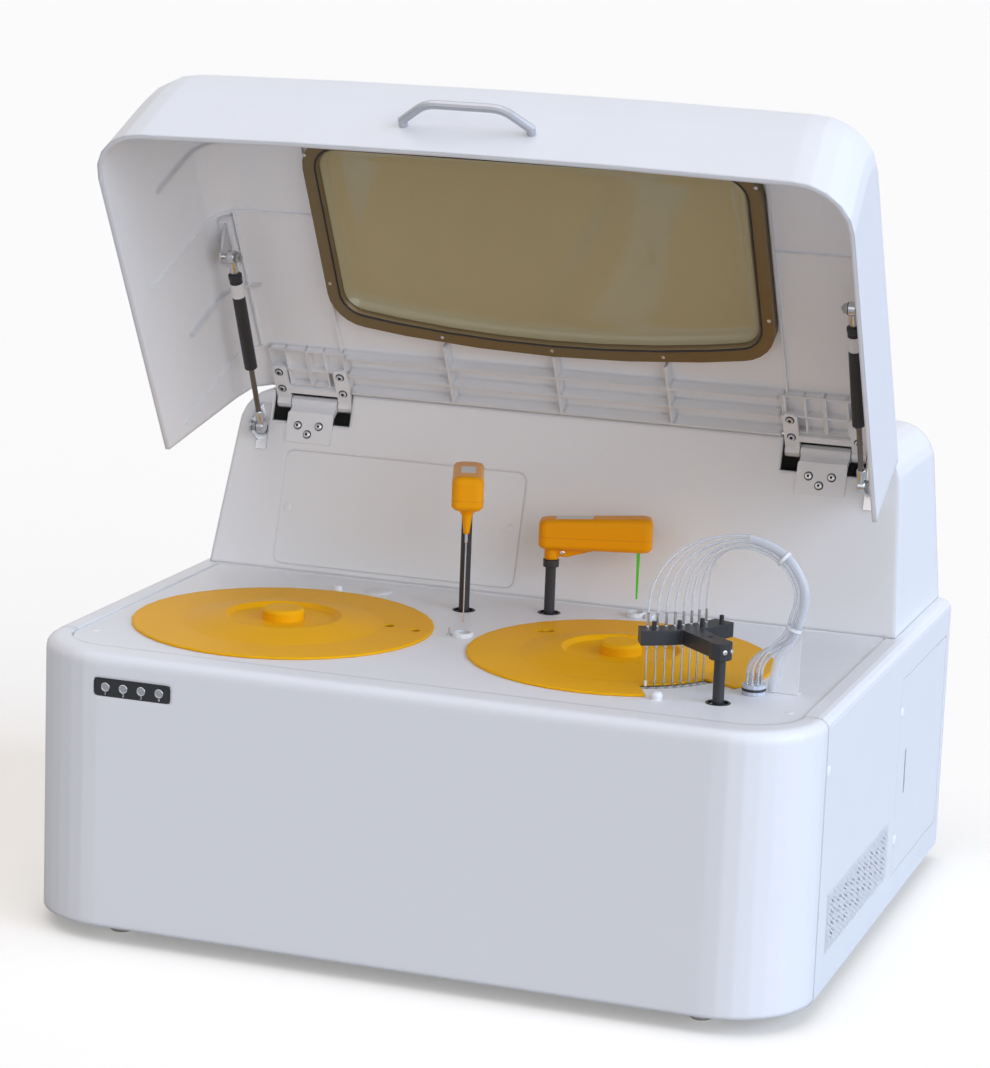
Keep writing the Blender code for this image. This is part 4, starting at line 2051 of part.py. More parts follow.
def main():
    for thing in list(bpy.data.objects):
        bpy.data.objects.remove(thing)

    base_tray()
    front_cover()
    side_panel("left_side_panel", -1)
    side_panel("right_side_panel", 1)
    side_door()
    rear_panel()
    for x_name, side_x in (("left", -1), ("right", 1)):
        for y_name, side_y in (("front", -1), ("rear", 1)):
            foot(f"foot_{y_name}_{x_name}", side_x, side_y)

    deck_plate()
    rinse_cup("rinse_cup_sample", sample_cup_place())
    rinse_cup("rinse_cup_mixer", mixer_cup_place())
    button_strip()
    for index in range(BUTTON_COUNT):
        button(f"button_{index + 1}", index)

    rear_housing()
    access_panel()
    lid_hinge = bpy.data.objects.new("lid_hinge", None)
    bpy.context.collection.objects.link(lid_hinge)
    lid_hinge.location = (0.0, HINGE_Y, HINGE_Z)
    lid_hinge.rotation_euler = (-OPEN_ANGLE, 0.0, 0.0)
    lid_shell(lid_hinge)
    window_frame(lid_hinge)
    window_pane(lid_hinge)
    lid_handle(lid_hinge)
    for word, side in (("left", -1), ("right", 1)):
        hinge_plate(f"hinge_plate_{word}", side)
        hinge_arm(f"hinge_arm_{word}", side, lid_hinge)
        lower_bracket(f"lower_bracket_{word}", side)
        upper_bracket(f"upper_bracket_{word}", side, lid_hinge)
        strut_cylinder(f"strut_cylinder_{word}", side)
        strut_rod(f"strut_rod_{word}", side)

    mechanism_plate()
    bowl("reagent_bowl", (REAGENT_X, REAGENT_Y), REAGENT_HOLE_RADIUS)
    bowl("reaction_bowl", (REACTION_X, REACTION_Y), REACTION_HOLE_RADIUS)
    reagent_carousel()
    reaction_carousel()
    reagent_cover()
    reaction_cover()

    sample_column()
    sample_arm()
    sample_probe()
    mixer_column()
    mixer_arm()
    mixer_paddle()
    wash_column()
    wash_head()
    wash_manifold()
    wash_tubes()
    tube_bracket()

    photometer()
    power_supply()
    syringe_pump()
    power_inlet()
    power_switch()

    for piece in bpy.context.scene.objects:
        if piece.parent is None:
            piece.location.z += FOOT_HEIGHT


main()
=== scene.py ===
import json
from math import atan, cos, dist, hypot, pi, radians, sin, tan, tau

import bmesh
import bpy
from mathutils import Matrix, Vector


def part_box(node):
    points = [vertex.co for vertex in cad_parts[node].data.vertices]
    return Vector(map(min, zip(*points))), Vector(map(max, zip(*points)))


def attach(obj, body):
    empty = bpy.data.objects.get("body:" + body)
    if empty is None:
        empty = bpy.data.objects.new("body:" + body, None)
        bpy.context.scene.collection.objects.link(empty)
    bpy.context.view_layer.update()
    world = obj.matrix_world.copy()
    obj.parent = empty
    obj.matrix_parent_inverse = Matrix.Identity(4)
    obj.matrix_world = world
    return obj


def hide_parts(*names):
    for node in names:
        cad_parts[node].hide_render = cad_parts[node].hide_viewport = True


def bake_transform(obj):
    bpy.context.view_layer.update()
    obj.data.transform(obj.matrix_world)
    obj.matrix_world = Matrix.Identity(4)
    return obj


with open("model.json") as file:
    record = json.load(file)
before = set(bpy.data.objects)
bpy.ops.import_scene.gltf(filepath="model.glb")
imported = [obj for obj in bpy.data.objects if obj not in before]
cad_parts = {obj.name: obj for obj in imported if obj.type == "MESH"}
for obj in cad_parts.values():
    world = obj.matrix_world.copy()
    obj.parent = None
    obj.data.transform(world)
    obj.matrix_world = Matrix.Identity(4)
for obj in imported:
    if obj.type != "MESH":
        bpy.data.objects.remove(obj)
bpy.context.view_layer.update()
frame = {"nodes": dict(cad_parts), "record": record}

# The photograph's camera, fitted to the case's corners, in pixels, radians and metres
PHOTO_WIDTH = 990
PHOTO_HEIGHT = 1068
FOCAL_PIXELS = 3348.47
CENTRE_PIXEL = (530.8, 513.55)
YAW = -0.31773
PITCH = -0.2006
ROLL = 0.03997
CAMERA_PLACE = (1.15419, -3.44328, 1.17625)
SENSOR = 36.0

# The feet lift the case, and the lid turns about its hinge
FOOT = 0.018
LID_HINGE = (0.1815, 0.487)
LID_ANGLE = radians(60.4)
FACE_FOOT = (0.116, 0.298)
FACE_SLOPE = 0.285
DECK = 0.296
CASE_TOP = 0.298
HALF_WIDTH = 0.43
HALF_DEPTH = 0.35

# Colours, linear
BACKGROUND = (0.93, 0.93, 0.93)
FLOOR_SEEN = (0.94, 0.9, 0.83)
FLOOR_LIFT = 0.265
FLOOR_BOUNCE = (0.58, 0.58, 0.58)
SHELL = (0.885, 0.89, 0.905)
YELLOW = (0.95, 0.47, 0.002)
ORANGE = (0.93, 0.37, 0.001)
BLACK = (0.022, 0.023, 0.027)
STEEL = (0.62, 0.63, 0.65)
ZINC = (0.45, 0.46, 0.47)
BORDER = (0.2, 0.145, 0.07)
PANE = (0.47, 0.415, 0.245)
GREEN = (0.13, 0.72, 0.06)
HANDLE = (0.5, 0.51, 0.545)
WHITE = (0.86, 0.87, 0.88)
RUBBER = (0.66, 0.645, 0.6)
# Painted shade: the near-black of holes, counterbores and pockets
RECESS_SHADE = (0.012, 0.013, 0.015)
SCREEN = (0.4, 0.46, 0.58)
# Painted shade: grey for the hollow of each button's dimple
DIMPLE_SHADE_GREY = (0.42, 0.43, 0.45)
CUVETTE = (0.74, 0.77, 0.79)
TUBING = (0.8, 0.84, 0.9)
LABEL = (0.78, 0.78, 0.77)
# Painted shade: the orange darkened along the arms' seam line
SEAM_SHADE = (0.62, 0.2, 0.001)
PLATED = (0.2, 0.185, 0.17)
PALE_BLUE = (0.56, 0.6, 0.68)
SLEEVE = (0.88, 0.9, 0.95)
AMBIENT = (0.285, 0.29, 0.285)
FLOOR_REACH = 60.0


def link(tree, start, end):
    tree.links.new(start, end)


def fill(node, values):
    """Set a shader node's inputs by name."""
    for name, value in values.items():
        node.inputs[name].default_value = value


def add_node(tree, kind, values=None, **settings):
    """Add a shader node with some of its settings and inputs."""
    node = tree.nodes.new("ShaderNode" + kind)
    for name, setting in settings.items():
        setattr(node, name, setting)
    fill(node, values or {})
    return node


def noise_node(tree, size, stretch=(1.0, 1.0, 1.0), detail=3.0):
    """Noise whose features are about a given size in metres."""
    place = add_node(tree, "TexCoord")
    mapping = add_node(tree, "Mapping", {"Scale": stretch})
    noise = add_node(tree, "TexNoise", {"Scale": 1 / size, "Detail": detail})
    link(tree, place.outputs["Object"], mapping.inputs["Vector"])
    link(tree, mapping.outputs["Vector"], noise.inputs["Vector"])
    return noise


def surface(name, colour, roughness, metallic=0.0, grain=0.0002, grain_size=0.0012, mottle=0.03,
            mottle_size=0.06, polish=0.06, stretch=(1.0, 1.0, 1.0), alpha=1.0, shine=0.5):
    """A procedural finish: mottled colour, uneven polish and a fine grain."""
    made = bpy.data.materials.new(name)
    made.use_nodes = True
    tree = made.node_tree
    shader = tree.nodes["Principled BSDF"]
    fill(shader, {"Metallic": metallic, "Specular IOR Level": shine, "Alpha": alpha})
    broad = noise_node(tree, mottle_size, detail=4.0)
    darker = (*[part * (1 - mottle) for part in colour], 1.0)
    lighter = (*[min(part * (1 + mottle), 1.0) for part in colour], 1.0)
    tint = add_node(tree, "Mix", {"A": darker, "B": lighter}, data_type="RGBA")
    link(tree, broad.outputs["Fac"], tint.inputs["Factor"])
    link(tree, tint.outputs["Result"], shader.inputs["Base Color"])
    fine = noise_node(tree, grain_size, stretch)
    limits = {"To Min": max(roughness - polish, 0.02), "To Max": roughness + polish}
    spread = add_node(tree, "MapRange", limits)
    link(tree, fine.outputs["Fac"], spread.inputs["Value"])
    link(tree, spread.outputs["Result"], shader.inputs["Roughness"])
    bump = add_node(tree, "Bump", {"Strength": 1.0, "Distance": grain})
    link(tree, fine.outputs["Fac"], bump.inputs["Height"])
    link(tree, bump.outputs["Normal"], shader.inputs["Normal"])
    return made


def moulded(name, colour, soften, **finish):
    """A finish whose shading runs smoothly across a moulding's facets and rounds its edges."""
    made = surface(name, colour, **finish)
    tree = made.node_tree
    rounding = add_node(tree, "Bevel", {"Radius": soften}, samples=6)
    bump = next(node for node in tree.nodes if node.type == "BUMP")
    link(tree, rounding.outputs["Normal"], bump.inputs["Normal"])
    return made


def clear_surface(name, colour, roughness, alpha):
    """Clear plastic, part see-through, with a faint waviness."""
    return surface(name, colour, roughness, grain=0.00005, grain_size=0.01, mottle=0.02, polish=0.02,
                   alpha=alpha)


LOOKS = {
    "shell": surface("cool_white_moulding", SHELL, 0.36, grain=0.00004, grain_size=0.0016, mottle=0.012),
    "skin": moulded("smooth_white_moulding", SHELL, 0.007, roughness=0.36, grain=0.00004,
                    grain_size=0.0016, mottle=0.012),
    "deck": surface("cool_white_enamel", SHELL, 0.42, grain=0.00003, grain_size=0.0022, mottle=0.02),
    "yellow": moulded("yellow_moulding", YELLOW, 0.0025, roughness=0.46, grain=0.00006,
                      grain_size=0.0011, mottle=0.05, shine=0.14),
    "orange": moulded("orange_enamel", ORANGE, 0.0045, roughness=0.34, grain=0.00004,
                      grain_size=0.002, shine=0.16),
    "black": moulded("black_anodised", BLACK, 0.0012, roughness=0.42, grain=0.00005,
                     grain_size=0.0008, mottle=0.15),
    "steel": surface("turned_steel", STEEL, 0.24, 1.0, 0.00002, 0.0006, 0.05, 0.01, stretch=(1.0, 1.0, 12.0)),
    "zinc": surface("dull_zinc", ZINC, 0.45, 1.0, 0.00006, 0.0015, 0.1, 0.02),
    "border": surface("bronze_anodised", BORDER, 0.38, 0.35, 0.00004, 0.0009, 0.06, 0.03),
    "pane": clear_surface("olive_acrylic", PANE, 0.06, 0.97),
    "screen": surface("pale_screen", SCREEN, 0.6, grain=0.0001, grain_size=0.002, mottle=0.05),
    "grey": surface("grey_cap", DIMPLE_SHADE_GREY, 0.35, 0.3, 0.00003, 0.0006, 0.05, 0.02),
    "green": surface("green_coating", GREEN, 0.35, grain=0.00004, grain_size=0.0008, mottle=0.05),
    "cuvette": clear_surface("clear_cuvette", CUVETTE, 0.18, 1.0),
    "tube": clear_surface("clear_tubing", TUBING, 0.16, 0.45),
    "rubber": surface("pale_rubber", RUBBER, 0.75, grain=0.0001, grain_size=0.001, mottle=0.06),
    "handle": surface("grey_metallic", HANDLE, 0.34, 0.55, 0.00003, 0.0005, 0.03, 0.02),
    "cup": surface("white_polymer", WHITE, 0.38, grain=0.00004, grain_size=0.0015, mottle=0.02),
    "label": surface("bare_label", LABEL, 0.5, grain=0.00003, mottle=0.02),
    "seam": surface("shaded_seam", SEAM_SHADE, 0.5, grain=0.00003, mottle=0.02),
    "rod": surface("dark_plated_steel", PLATED, 0.28, 1.0, 0.00002, 0.0006, 0.05, 0.01),
    "fitting": surface("pale_blue_polymer", PALE_BLUE, 0.4, grain=0.00003),
    "sleeve": clear_surface("clear_sleeve", SLEEVE, 0.3, 0.46),
    # Painted shade, near-black, for holes, counterbores and the pocket behind a slot
    "dark": surface("dark_recess", RECESS_SHADE, 0.7, grain=0.0001, grain_size=0.002, mottle=0.2),
}


# Nodes that don't look like the rest of their slot
OWN_LOOKS = {"strut_rod_left": "rod", "strut_rod_right": "rod", "wash_manifold": "fitting",
             "lid_shell": "skin", "front_cover": "skin", "rear_housing": "skin"}


def dress_nodes():
    """Each carried-over CAD node gets its slot's procedural finish, or its own."""
    for entry in frame["record"]["subparts"]:
        node = frame["nodes"][entry["node"]]
        look = LOOKS[OWN_LOOKS.get(entry["node"], entry["material_slot"])]
        for slot in node.material_slots:
            slot.material = look


def placed(name, data):
    """A new object in the scene."""
    made = bpy.data.objects.new(name, data)
    bpy.context.scene.collection.objects.link(made)
    return made


def camera_axes():
    """The camera's right, up and forward directions."""
    level = Vector((cos(YAW), -sin(YAW), 0.0))
    forward = Vector((sin(YAW) * cos(PITCH), cos(YAW) * cos(PITCH), sin(PITCH)))
    upright = level.cross(forward)
    right = level * cos(ROLL) + upright * sin(ROLL)
    up = upright * cos(ROLL) - level * sin(ROLL)
    return right, up, forward


def make_camera():
    data = bpy.data.cameras.new("camera")
    data.sensor_fit = "AUTO"
    data.sensor_width = SENSOR
    data.lens = FOCAL_PIXELS / PHOTO_HEIGHT * SENSOR
    data.shift_x = (PHOTO_WIDTH / 2 - CENTRE_PIXEL[0]) / PHOTO_HEIGHT
    data.shift_y = (CENTRE_PIXEL[1] - PHOTO_HEIGHT / 2) / PHOTO_HEIGHT
    data.clip_end = 200.0
    camera = placed("camera", data)
    right, up, forward = camera_axes()
    turn = Matrix((right, up, -forward)).transposed()
    camera.matrix_world = Matrix.Translation(CAMERA_PLACE) @ turn.to_4x4()
    bpy.context.scene.camera = camera


# Each soft distant lamp's name, direction, strength, colour and spread in degrees
LAMPS = (
    ("overhead", (-0.15, -0.12, 1.0), 0.83, (1.0, 0.94, 1.0), 60),
    ("front", (0.0, -1.0, 0.1), 0.26, (1.0, 0.84, 0.84), 60),
    ("window", (1.35, -1.0, 0.25), 1.5, (0.8, 0.86, 0.96), 55),
    ("daylight", (1.0, -0.05, 0.45), 1.62, (0.56, 0.72, 1.0), 40),
)


def make_light():
    """A dim pale room, lamps overhead and in front, and cooler daylight from the right."""
    for name, towards, strength, colour, spread in LAMPS:
        data = bpy.data.lights.new(name, "SUN")
        data.energy = strength
        data.color = colour
        data.angle = radians(spread)
        lamp = placed(name, data)
        lamp.rotation_mode = "QUATERNION"
        lamp.rotation_quaternion = Vector(towards).to_track_quat("Z", "Y")
    world = bpy.data.worlds.new("room")
    world.use_nodes = True
    tree = world.node_tree
    tree.nodes.clear()
    seen = add_node(tree, "Background", {"Color": (*BACKGROUND, 1.0)})
    ambient = add_node(tree, "Background", {"Color": (*AMBIENT, 1.0)})
    rays = add_node(tree, "LightPath")
    mirrored = add_node(tree, "Math", operation="MAXIMUM")
    either = add_node(tree, "Math", operation="MAXIMUM")
    link(tree, rays.outputs["Is Glossy Ray"], mirrored.inputs[0])
    link(tree, rays.outputs["Is Transmission Ray"], mirrored.inputs[1])
    link(tree, rays.outputs["Is Camera Ray"], either.inputs[0])
    link(tree, mirrored.outputs["Value"], either.inputs[1])
    choice = add_node(tree, "MixShader")
    link(tree, either.outputs["Value"], choice.inputs["Fac"])
    link(tree, ambient.outputs["Background"], choice.inputs[1])
    link(tree, seen.outputs["Background"], choice.inputs[2])
    output = add_node(tree, "OutputWorld")
    link(tree, choice.outputs["Shader"], output.inputs["Surface"])
    bpy.context.scene.world = world
    bpy.context.scene.view_settings.view_transform = "Standard"


def make_floor():
    """A wide pale floor, a little brighter to the camera than in the light that it gives back."""
    far = FLOOR_REACH
    corners = [(-far, -far, 0.0), (far, -far, 0.0), (far, far, 0.0), (-far, far, 0.0)]
    mesh = bpy.data.meshes.new("floor")
    mesh.from_pydata(corners, [], [(0, 1, 2, 3)])
    floor = placed("floor", mesh)
    paint = bpy.data.materials.new("pale_floor")
    paint.use_nodes = True
    tree = paint.node_tree
    shader = tree.nodes["Principled BSDF"]
    fill(shader, {"Roughness": 0.9, "Specular IOR Level": 0.0, "Emission Color": (1.0, 1.0, 1.0, 1.0)})
    rays = add_node(tree, "LightPath")
    shades = {"A": (*FLOOR_BOUNCE, 1.0), "B": (*FLOOR_SEEN, 1.0)}
    shade = add_node(tree, "Mix", shades, data_type="RGBA")
    link(tree, rays.outputs["Is Camera Ray"], shade.inputs["Factor"])
    link(tree, shade.outputs["Result"], shader.inputs["Base Color"])
    lift = add_node(tree, "Math", {1: FLOOR_LIFT}, operation="MULTIPLY")
    link(tree, rays.outputs["Is Camera Ray"], lift.inputs[0])
    link(tree, lift.outputs["Value"], shader.inputs["Emission Strength"])
    mesh.materials.append(paint)


def finished(name, shape, look, smooth_degrees):
    """Turn a bmesh into a smooth object with its finish."""
    bmesh.ops.recalc_face_normals(shape, faces=shape.faces[:])
    mesh = bpy.data.meshes.new(name)
    shape.to_mesh(mesh)
    shape.free()
    mesh.shade_smooth()
    mesh.set_sharp_from_angle(angle=radians(smooth_degrees))
    mesh.materials.append(LOOKS[look])
    return placed(name, mesh)


def piece(name, shape, look, body, smooth_degrees=40):
    """A piece that rides on a CAD body."""
    made = finished(name, shape, look, smooth_degrees)
    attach(made, body)
    return made


def skin(shape, rings, close=False):
    """Join rings of points into a band of faces."""
    made = [[shape.verts.new(point) for point in ring] for ring in rings]
    pairs = list(zip(made, made[1:]))
    if close:
        pairs.append((made[-1], made[0]))
    for low, high in pairs:
        for step in range(len(low)):
            after = (step + 1) % len(low)
            shape.faces.new((low[step], low[after], high[after], high[step]))
    return made


def band_piece(name, rings, look, body, smooth_degrees=40):
    """A closed band as a piece of its own."""
    shape = bmesh.new()
    skin(shape, rings, True)
    piece(name, shape, look, body, smooth_degrees)


def add_beam(shape, rings):
    """Add a solid through rings of points, closed at both ends."""
    made = skin(shape, rings)
    shape.faces.new(made[0])
    shape.faces.new(made[-1])


def turned_rings(profile, place, axis, sides):
    """A ring of points for each (radius, height) point about an axis, or one point on the axis."""
    turn = Vector(axis).to_track_quat("Z", "Y").to_matrix()
    rings = []
    for radius, height in profile:
        angles = [tau * step / sides for step in range(sides if radius else 1)]
        spots = [Vector((radius * cos(angle), radius * sin(angle), height)) for angle in angles]
        rings.append([Vector(place) + turn @ spot for spot in spots])
    return rings


def add_turned(shape, profile, place, axis, sides=24):
    """Add a turned solid: (radius, height) points about an axis through a place."""
    made = turned_rings(profile, place, axis, sides)
    rings = [[shape.verts.new(point) for point in ring] for ring in made]
    for low, high in zip(rings, rings[1:]):
        for step in range(sides):
            after = (step + 1) % sides
            corners = [low[step % len(low)], low[after % len(low)],
                       high[after % len(high)], high[step % len(high)]]
            shape.faces.new(list(dict.fromkeys(corners)))


def turned_piece(name, profile, place, axis, look, body, sides=24):
    """A turned solid as a piece of its own."""
    shape = bmesh.new()
    add_turned(shape, profile, place, axis, sides)
    return piece(name, shape, look, body)


def disc(radius, low, high):
    """The profile of a flat disc."""
    return [(0.0, low), (radius, low), (radius, high), (0.0, high)]


def dome(radius, height, steps=5):
    """The profile of a low round cap."""
    points = [(radius, 0.0)]
    for step in range(1, steps + 1):
        turn = pi / 2 * step / steps
        points.append((radius * cos(turn) if step < steps else 0.0, height * sin(turn)))
    return [(0.0, -0.0002), (radius, -0.0002), *points]


def add_screw(shape, place, axis, radius, height):
    """Add a round-headed screw with a cross recess."""
    profile = [(0.0, 0.0), (radius, 0.0), (radius, height * 0.45), (radius * 0.94, height * 0.75),
               (radius * 0.62, height), (radius * 0.42, height), (radius * 0.3, height * 0.55),
               (0.0, height * 0.5)]
    add_turned(shape, profile, place, axis, 20)


def add_tube(shape, points, radius, sides, closed_ends=True):
    """Add a round tube along points."""
    rings = []
    up = Vector(UPRIGHT)
    for index, point in enumerate(points):
        heading = (points[min(index + 1, len(points) - 1)] - points[max(index - 1, 0)]).normalized()
        if index == 0:
            side = heading.cross(up if abs(heading.z) < 0.9 else Vector((0.0, 1.0, 0.0))).normalized()
        side = (side - heading * side.dot(heading)).normalized()
        across = heading.cross(side)
        angles = [tau * step / sides for step in range(sides)]
        rings.append([point + side * (radius * cos(angle)) + across * (radius * sin(angle))
                      for angle in angles])
    made = skin(shape, rings)
    if closed_ends:
        shape.faces.new(made[0][::-1])
        shape.faces.new(made[-1])


def add_block(shape, low, high, edge=0.0):
    """Add an upright box, its edges rounded by a small bevel."""
    made = bmesh.ops.create_cube(shape, size=1.0)
    span = Vector(high) - Vector(low)
    middle = (Vector(high) + Vector(low)) / 2
    for corner in made["verts"]:
        corner.co = middle + Vector([part * share for part, share in zip(corner.co, span)])
    if edge:
        edges = list({side for corner in made["verts"] for side in corner.link_edges})
        bmesh.ops.bevel(shape, geom=edges, offset=edge, segments=2, affect="EDGES", profile=0.7)
    return made["verts"]


def lifted(x, y, z):
    """A point given in heights above the case's bottom edge."""
    return Vector((x, y, z + FOOT))


def on_lid(x, y, z):
    """A point of the closed lid, turned up with it."""
    from_hinge_y = y - LID_HINGE[0]
    from_hinge_z = z - LID_HINGE[1]
    turned_y = from_hinge_y * cos(LID_ANGLE) + from_hinge_z * sin(LID_ANGLE)
    turned_z = from_hinge_z * cos(LID_ANGLE) - from_hinge_y * sin(LID_ANGLE)
    return lifted(x, LID_HINGE[0] + turned_y, LID_HINGE[1] + turned_z)


def on_face(x, z, out=0.0):
    """A point of the tower's leaning front, a little proud of it."""
    lean = atan(FACE_SLOPE)
    y = FACE_FOOT[0] + FACE_SLOPE * (z - FACE_FOOT[1])
    return lifted(x, y - out * cos(lean), z + out * sin(lean))


FACE_NORMAL = Vector((0.0, -cos(atan(FACE_SLOPE)), sin(atan(FACE_SLOPE))))


# Places on the case and the deck, in metres
CAP_RADIUS = 0.0068
CAP_HEIGHT = 0.0022
DOOR_CAPS = ((0.105, 0.218), (0.103, 0.071))
SEAM_CAP = (-0.244, 0.2405)
VENT_BOX = ((-0.216, 0.038), (0.066, 0.102))
SLOT_BOX = ((0.13, 0.114), (0.143, 0.173))
GROMMETS = ((-0.063, 0.03), (0.027, 0.064), (0.3085, -0.2365))
GROMMET_INNER = 0.0108
GROMMET_OUTER = 0.0132
GROMMET_HEIGHT = 0.0006
DECK_CAPS = ((-0.385, -0.25), (0.385, -0.241), (0.395, 0.085))
DECK_CAP_RADIUS = 0.0045
PANEL_CAPS = ((-0.325, 0.37), (-0.047, 0.372))
PLATE_SCREWS = ((-0.0145, 0.4625), (0.012, 0.463), (-0.0015, 0.453))
HINGE_X = 0.3095
SCREW_RADIUS = 0.0042
SCREW_HEIGHT = 0.0028
BUTTON_RADIUS = 0.005
RING_WIDTH = 0.0007
SIDE_WALL = 0.0045
SEAL_HALF = 0.405
SEAL_FRONT = 0.1163
SEAL_REAR = 0.121
PLATE_FACE = 0.0028

# Turned shapes, as (radius, height) points
BUTTON_DIMPLE = ((0, 0), (0.0036, 0), (0.0035, 0.0004), (0, 0.0005))
DECK_PLUG = ((0, 0), (0.015, 0), (0.015, 0.0012), (0.0138, 0.002), (0, 0.0023))
DECK_PIN = ((0, 0), (0.0056, 0), (0.0056, 0.0052), (0.005, 0.0061), (0.0036, 0.0066), (0, 0.0068))
WASH_STOP = ((0, 0), (0.0062, 0), (0.0062, 0.0008), (0.0052, 0.0012), (0.0062, 0.0028),
             (0.0065, 0.0044), (0.006, 0.0062), (0.0047, 0.0078), (0.0026, 0.0088), (0, 0.0091))
CUP_STUB = ((0, 0), (0.0026, 0), (0.0026, 0.002), (0.0012, 0.0024), (0.0012, 0.0085), (0, 0.0088))
# Each small white fitting's name, shape, place and number of sides
DECK_FITTINGS = (("deck_plug", DECK_PLUG, (-0.18, 0.069), 36), ("deck_pin", DECK_PIN, (-0.226, 0.054), 24),
                 ("wash_stop", WASH_STOP, (0.2475, -0.252), 24))
UPRIGHT = (0, 0, 1)
OUT_RIGHT = (1, 0, 0)
OUT_FRONT = (0, -1, 0)


def case_caps():
    """Round white caps on the service door and beside the front seam."""
    cap = dome(CAP_RADIUS, CAP_HEIGHT)
    for index, (y, z) in enumerate(DOOR_CAPS, 1):
        name = "door_cap_%d" % index
        turned_piece(name, cap, lifted(HALF_WIDTH, y, z), OUT_RIGHT, "shell", "side_door")
    turned_piece("seam_cap", cap, lifted(HALF_WIDTH, *SEAM_CAP), OUT_RIGHT, "shell", "base")


def block_piece(name, low, high, look, body, edge=0.0):
    """An upright box as a piece of its own."""
    shape = bmesh.new()
    add_block(shape, low, high, edge)
    piece(name, shape, look, body)


def liner(name, box, depth, look, body):
    """A thin sheet behind an opening in the right side."""
    (low_y, low_z), (high_y, high_z) = box
    low = lifted(HALF_WIDTH - SIDE_WALL - depth, low_y, low_z)
    block_piece(name, low, lifted(HALF_WIDTH - SIDE_WALL, high_y, high_z), look, body)


def case_liners():
    """A pale screen behind the vent, and a dark sheet of painted shade behind the door's slot."""
    liner("vent_screen", VENT_BOX, 0.0012, "screen", "base")
    # The slot's pocket is a dark sheet of painted shade
    liner("slot_pocket", SLOT_BOX, 0.003, "dark", "side_door")


def bead(radius, width):
    """The profile of a round bead."""
    return [(radius - width, 0), (radius - width, width * 0.4), (radius - width * 0.5, width * 0.8),
            (radius + width * 0.5, width * 0.8), (radius + width, width * 0.4), (radius + width, 0)]


def button_details():
    """A silver ring on each button, a grey disc of painted shade for its dimple, and plain numbers below."""
    strip_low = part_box("button_strip")[0]
    ring = bead(BUTTON_RADIUS - RING_WIDTH - 0.0001, RING_WIDTH)
    for number in range(1, 5):
        low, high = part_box("button_%d" % number)
        centre = Vector(((low.x + high.x) / 2, low.y, (low.z + high.z) / 2))
        body = "button_%d" % number
        rings = turned_rings(ring, centre, OUT_FRONT, 36)
        band_piece("button_ring_%d" % number, rings, "steel", body)
        # The grey disc on each button is painted shade for its dimple
        turned_piece("button_cap_%d" % number, BUTTON_DIMPLE, centre, OUT_FRONT, "grey", body)
        words = bpy.data.curves.new("button_number_%d" % number, "FONT")
        words.body = str(number)
        words.size = 0.0046
        words.extrude = 0.00008
        words.align_x = "CENTER"
        mark = placed("button_number_%d" % number, words)
        mark.location = (centre.x, strip_low.y - 0.0001, strip_low.z + 0.0006)
        mark.rotation_euler = (pi / 2, 0, 0)
        words.materials.append(LOOKS["cup"])
        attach(mark, "base")


def deck_details():
    """Black rims round the columns' holes, flat caps, and small white fittings."""
    rim = ((GROMMET_INNER, -0.002), (GROMMET_INNER, GROMMET_HEIGHT * 0.6),
           (GROMMET_INNER + 0.0006, GROMMET_HEIGHT), (GROMMET_OUTER - 0.0006, GROMMET_HEIGHT),
           (GROMMET_OUTER, 0))
    for index, (x, y) in enumerate(GROMMETS, 1):
        turned_piece("column_rim_%d" % index, rim, lifted(x, y, DECK), UPRIGHT, "black", "base", 40)
    cap = dome(DECK_CAP_RADIUS, 0.0009)
    for index, (x, y) in enumerate(DECK_CAPS, 1):
        turned_piece("deck_cap_%d" % index, cap, lifted(x, y, DECK), UPRIGHT, "shell", "base")
    for name, profile, place, sides in DECK_FITTINGS:
        turned_piece(name, profile, lifted(*place, DECK), UPRIGHT, "cup", "base", sides)


def cup_details():
    """A drain stub beside one rinse cup and a small block beside the other."""
    low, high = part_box("rinse_cup_sample")
    stub = Vector((low.x - 0.0045, (low.y + high.y) / 2, DECK + FOOT))
    turned_piece("cup_stub", CUP_STUB, stub, UPRIGHT, "steel", "base", 16)
    low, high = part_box("rinse_cup_mixer")
    corner = Vector((high.x + 0.0012, low.y + 0.004, DECK + FOOT))
    block_piece("cup_block", corner, corner + Vector((0.009, 0.012, 0.0045)), "cup", "base", 0.0008)


def tower_details():
    """Caps on the access panel, and the fixed leaves' screws with painted shade in and round them."""
    cap = dome(0.0052, 0.0016)
    for index, (x, z) in enumerate(PANEL_CAPS, 1):
        turned_piece("panel_cap_%d" % index, cap, on_face(x, z), FACE_NORMAL, "shell", "base")
    # Dark hexagons in the screws' recesses and dark rings round their heads are painted shade
    recess_shade = disc(SCREW_RADIUS * 0.44, 0, SCREW_HEIGHT * 0.94)
    ring = disc(SCREW_RADIUS * 1.22, 0, 0.0003)
    for side, word in ((-1, "left"), (1, "right")):
        places = [on_face(side * HINGE_X + x, z, PLATE_FACE) for x, z in PLATE_SCREWS]
        shape = bmesh.new()
        for place in places:
            add_screw(shape, place, FACE_NORMAL, SCREW_RADIUS, SCREW_HEIGHT)
        piece("plate_screws_" + word, shape, "steel", "base")
        shape = bmesh.new()
        for place in places:
            add_turned(shape, recess_shade, place, FACE_NORMAL, 6)
            add_turned(shape, ring, place, FACE_NORMAL)
        piece("plate_recesses_" + word, shape, "dark", "base")
    low = lifted(-SEAL_HALF, SEAL_FRONT, DECK)
    high = lifted(SEAL_HALF, SEAL_REAR, CASE_TOP + 0.0004)
    block_piece("housing_seal", low, high, "shell", "base", 0.0003)


